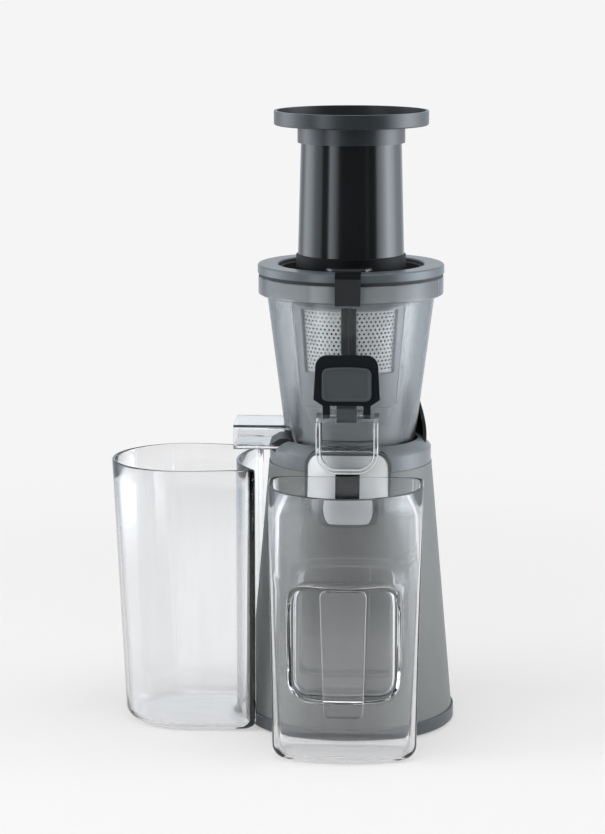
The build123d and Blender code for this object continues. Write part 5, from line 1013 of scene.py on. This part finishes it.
for side, inset in (("outer", LIP_INSET), ("inner", SPOUT_WALL - LIP_INSET)):
    # each bead is a painted highlight: a pale line standing for the light let out at the wall's edge
    spout_lip_highlight = bead(spout_path(inset), LIP_HALF_WIDE, LIP_HALF_DEEP, "spout_lip_highlight_" + side, EDGE_PAINTED_HIGHLIGHT)
    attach(spout_lip_highlight, "bowl")
    print("spout lip,", side, "edge:", len(spout_lip_highlight.data.polygons), "faces")

# %% [markdown]
# ## Painted highlight lines in the bowl's wall
# Two upright pale beads paint the bright lines that run down the bowl to both sides of the strainer: painted
# highlights, like those on the spout's edges. They lie within the thickness of the wall, so nothing stands out from
# the imported bowl.

# %% Painted highlight lines left and right of the strainer
HIGHLIGHT_BEARING, HIGHLIGHT_LOW_Z, HIGHLIGHT_HIGH_Z = radians(42), 236.0, 305.0
BOWL_LOW, BOWL_HIGH = (45.8, 204.0), (59.1, 308.4)  # outside radius and height of the bowl's cone
HIGHLIGHT_INSET, HIGHLIGHT_HALF_WIDE, HIGHLIGHT_HALF_DEEP = 1.5, 0.55, 0.7

for name, sign in (("bowl_rib_left", -1), ("bowl_rib_right", 1)):
    out = Vector((sign * sin(HIGHLIGHT_BEARING), -cos(HIGHLIGHT_BEARING), 0))
    highlight_path = []
    for z in [between(HIGHLIGHT_LOW_Z, HIGHLIGHT_HIGH_Z, n / 6) for n in range(7)]:
        share = (z - BOWL_LOW[1]) / (BOWL_HIGH[1] - BOWL_LOW[1])
        radius = between(BOWL_LOW[0], BOWL_HIGH[0], share) - HIGHLIGHT_INSET
        highlight_path.append((out * radius + Vector((0, 0, z)), (-out.y, out.x, 0), out))
    # a pale bead within the wall: a painted highlight line
    highlight_bead = bead(highlight_path, HIGHLIGHT_HALF_WIDE, HIGHLIGHT_HALF_DEEP, name, EDGE_PAINTED_HIGHLIGHT)
    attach(highlight_bead, "bowl")
print("ribs at", round(HIGHLIGHT_BEARING * 180 / pi), "degrees to both sides")

# %% [markdown]
# ## Pad of the cap
# The cap's silicone pad has a raised border that seals against the spout, and a sunk middle. A bump pattern could
# fake the border, but it wouldn't catch light along its rounded edge, so the pad is drawn as loops of real height.

# %% Pad with a raised border
PAD_HALF, PAD_LOW, PAD_HIGH, PAD_CROWN, PAD_CORNER = 16.9, 244.6, 268.0, 1.2, 4.0
PAD_BACK_Y, PAD_FRONT_Y, PAD_SUNK = -79.7, -82.1, 0.8
PAD_SUNK_Y = PAD_FRONT_Y + PAD_SUNK
PAD_LAYERS = [  # inset and Y: out from the back, over the raised border, and down to the sunk middle
    (0.0, PAD_BACK_Y), (0.0, PAD_FRONT_Y + 0.5), (0.15, PAD_FRONT_Y + 0.15), (0.5, PAD_FRONT_Y), (1.1, PAD_FRONT_Y),
    (1.45, PAD_FRONT_Y + 0.15), (1.6, PAD_FRONT_Y + 0.45), (1.75, PAD_SUNK_Y - 0.12), (2.1, PAD_SUNK_Y),
    (4.0, PAD_SUNK_Y),
]
SHARP_PAD = radians(40)


def pad_shape():
    """Silicone pad as loops, with a crowned upper edge."""
    pad = bmesh.new()
    middle, tall = (PAD_LOW + PAD_HIGH) / 2, (PAD_HIGH - PAD_LOW) / 2
    loops = []
    for inset, y in PAD_LAYERS:
        loop = []
        for a, b in square_edge(16, 12):
            corner = max(PAD_CORNER - inset, 1.0)
            flat, _ = soft_box_point(a, b, PAD_HALF - inset, tall - inset - PAD_CROWN / 2, corner)
            crown = PAD_CROWN * (1 - (flat.x / PAD_HALF) ** 2) if b > -0.5 else 0.0
            z = middle + flat.y - PAD_CROWN / 2 + crown * max(flat.y / tall, 0.0)
            loop.append(pad.verts.new(Vector((flat.x, y, z)) * MM))
        loops.append(loop)
    stitch(pad, loops)
    pad.faces.new(loops[0])
    pad.faces.new(loops[-1])
    return pad


cap_pad = as_object(pad_shape(), "cap_pad", CAP_SILICONE)
cap_pad.data.set_sharp_from_angle(angle=SHARP_PAD)
for face in cap_pad.data.polygons:
    face.use_smooth = len(face.vertices) < MANY_CORNERS
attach(cap_pad, "cap")
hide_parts("cap_seal")
print("cap pad:", len(cap_pad.data.polygons), "faces")

# %% [markdown]
# ## Rubbing strip of the strainer
# Silicone strips along the strainer's ribs wipe the inside of the bowl. The imported strip is a flat bar. The real one
# has a rounded back with a raised line along its middle, and it runs up under the strainer's rim. A bevel on the bar
# would round its edges only. So both are beads with an oval section that follow the slope of the strainer. The raised
# line is given a lighter charcoal silicone, a painted highlight along its crest.

# %% Strip with a raised line
STRIP_LOW_Z, STRIP_TOP_Z = 256.5, 306.0
STRIP_LEVELS = [between(STRIP_LOW_Z, STRIP_TOP_Z, n / 8) for n in range(9)]
FRAME_PROUD = 0.15  # how far the strainer's frame stands out from its sheet
STRIP_HALF_WIDE, STRIP_HALF_DEEP, STRIP_REACH = 5.0, 1.0, 3.35
LINE_HALF_WIDE, LINE_HALF_DEEP, LINE_SUNK = 0.45, 0.3, 0.15


def strip_path(reach):
    """Path up the front of the strainer, at a distance from its frame, for a bead."""
    path = []
    for z in STRIP_LEVELS:
        share = (z - SHEET_LOW_Z) / (SHEET_HIGH_Z - SHEET_LOW_Z)
        radius = between(SHEET_LOW_R, SHEET_HIGH_R, share) + FRAME_PROUD
        path.append(((0.0, -(radius + reach), z), (1, 0, 0), (0, 1, 0)))
    return path


rubbing_strip = bead(strip_path(STRIP_REACH - STRIP_HALF_DEEP), STRIP_HALF_WIDE, STRIP_HALF_DEEP, "rubbing_strip",
                     STRIP_BLACK)
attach(rubbing_strip, "bowl")
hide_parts("strainer_strip")
# lighter charcoal silicone on the raised line: a painted highlight along its crest
strip_highlight_line = bead(strip_path(STRIP_REACH - LINE_SUNK), LINE_HALF_WIDE, LINE_HALF_DEEP, "strip_highlight_line", CAP_SILICONE)
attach(strip_highlight_line, "bowl")
print("rubbing strip up to", STRIP_TOP_Z, "mm")

# %% [markdown]
# ## Neck of the lid
# The polished feed tube grows out of the lid through a short neck. The neck is 1.6 mm thick and left textured, and
# its near-black with hardly any sheen is painted shade: it stands for the shade of the lid round it and for the black
# lid that the tube's foot mirrors, so the tube's bright bands end above the lid. It could be a duller part of the
# tube's material, but its upper edge is a real step with a small bevel, so it is a ring of its own: a section turned
# round the screw's axis.

# %% Turn a section round the axis
def turned_ring(section, name, finish, sharp_degrees, count=128):
    """Ring from a closed section of (radius, z) corners."""
    skin = bmesh.new()
    loops = []
    for n in range(count):
        turn = 2 * pi * n / count
        loops.append([skin.verts.new(Vector((r * cos(turn), r * sin(turn), z)) * MM) for r, z in section])
    stitch(skin, loops + loops[:1])
    ring = as_object(skin, name, finish)
    ring.data.set_sharp_from_angle(angle=radians(sharp_degrees))
    return ring


print("rings can be turned")

# %% Ring round the tube's foot
NECK_LOW_R, NECK_HIGH_R, NECK_THICK = 37.4, 37.0, 1.6
NECK_LOW_Z, NECK_HIGH_Z, NECK_BEVEL = 321.0, 336.6, 0.6
NECK_SECTION = [
    (NECK_LOW_R, NECK_LOW_Z), (NECK_LOW_R + NECK_THICK, NECK_LOW_Z),
    (NECK_HIGH_R + NECK_THICK, NECK_HIGH_Z - NECK_BEVEL), (NECK_HIGH_R + NECK_THICK - NECK_BEVEL, NECK_HIGH_Z),
    (NECK_HIGH_R, NECK_HIGH_Z),
]

# the neck's near-black finish is painted shade
lid_neck = turned_ring(NECK_SECTION, "lid_neck", NECK_PAINTED_SHADE, 30)
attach(lid_neck, "lid")
print("lid neck:", len(lid_neck.data.polygons), "faces")

# %% [markdown]
# ## Frosted rim of the bowl
# Where the lid's seal presses on the bowl, a pale, frosted band shows behind the clear wall. A second material on the
# bowl would frost the outside as well, so the band is a thin ring within the thickness of that wall.

# %% Ring in the rim
FROST_R, FROST_THICK, FROST_LOW_Z, FROST_HIGH_Z = 62.7, 0.8, 309.6, 320.7
FROST_SECTION = [
    (FROST_R, FROST_LOW_Z), (FROST_R + FROST_THICK, FROST_LOW_Z),
    (FROST_R + FROST_THICK, FROST_HIGH_Z), (FROST_R, FROST_HIGH_Z),
]

rim_frost = turned_ring(FROST_SECTION, "rim_frost", FROSTED_RIM, 40)
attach(rim_frost, "bowl")
print("rim band:", len(rim_frost.data.polygons), "faces")
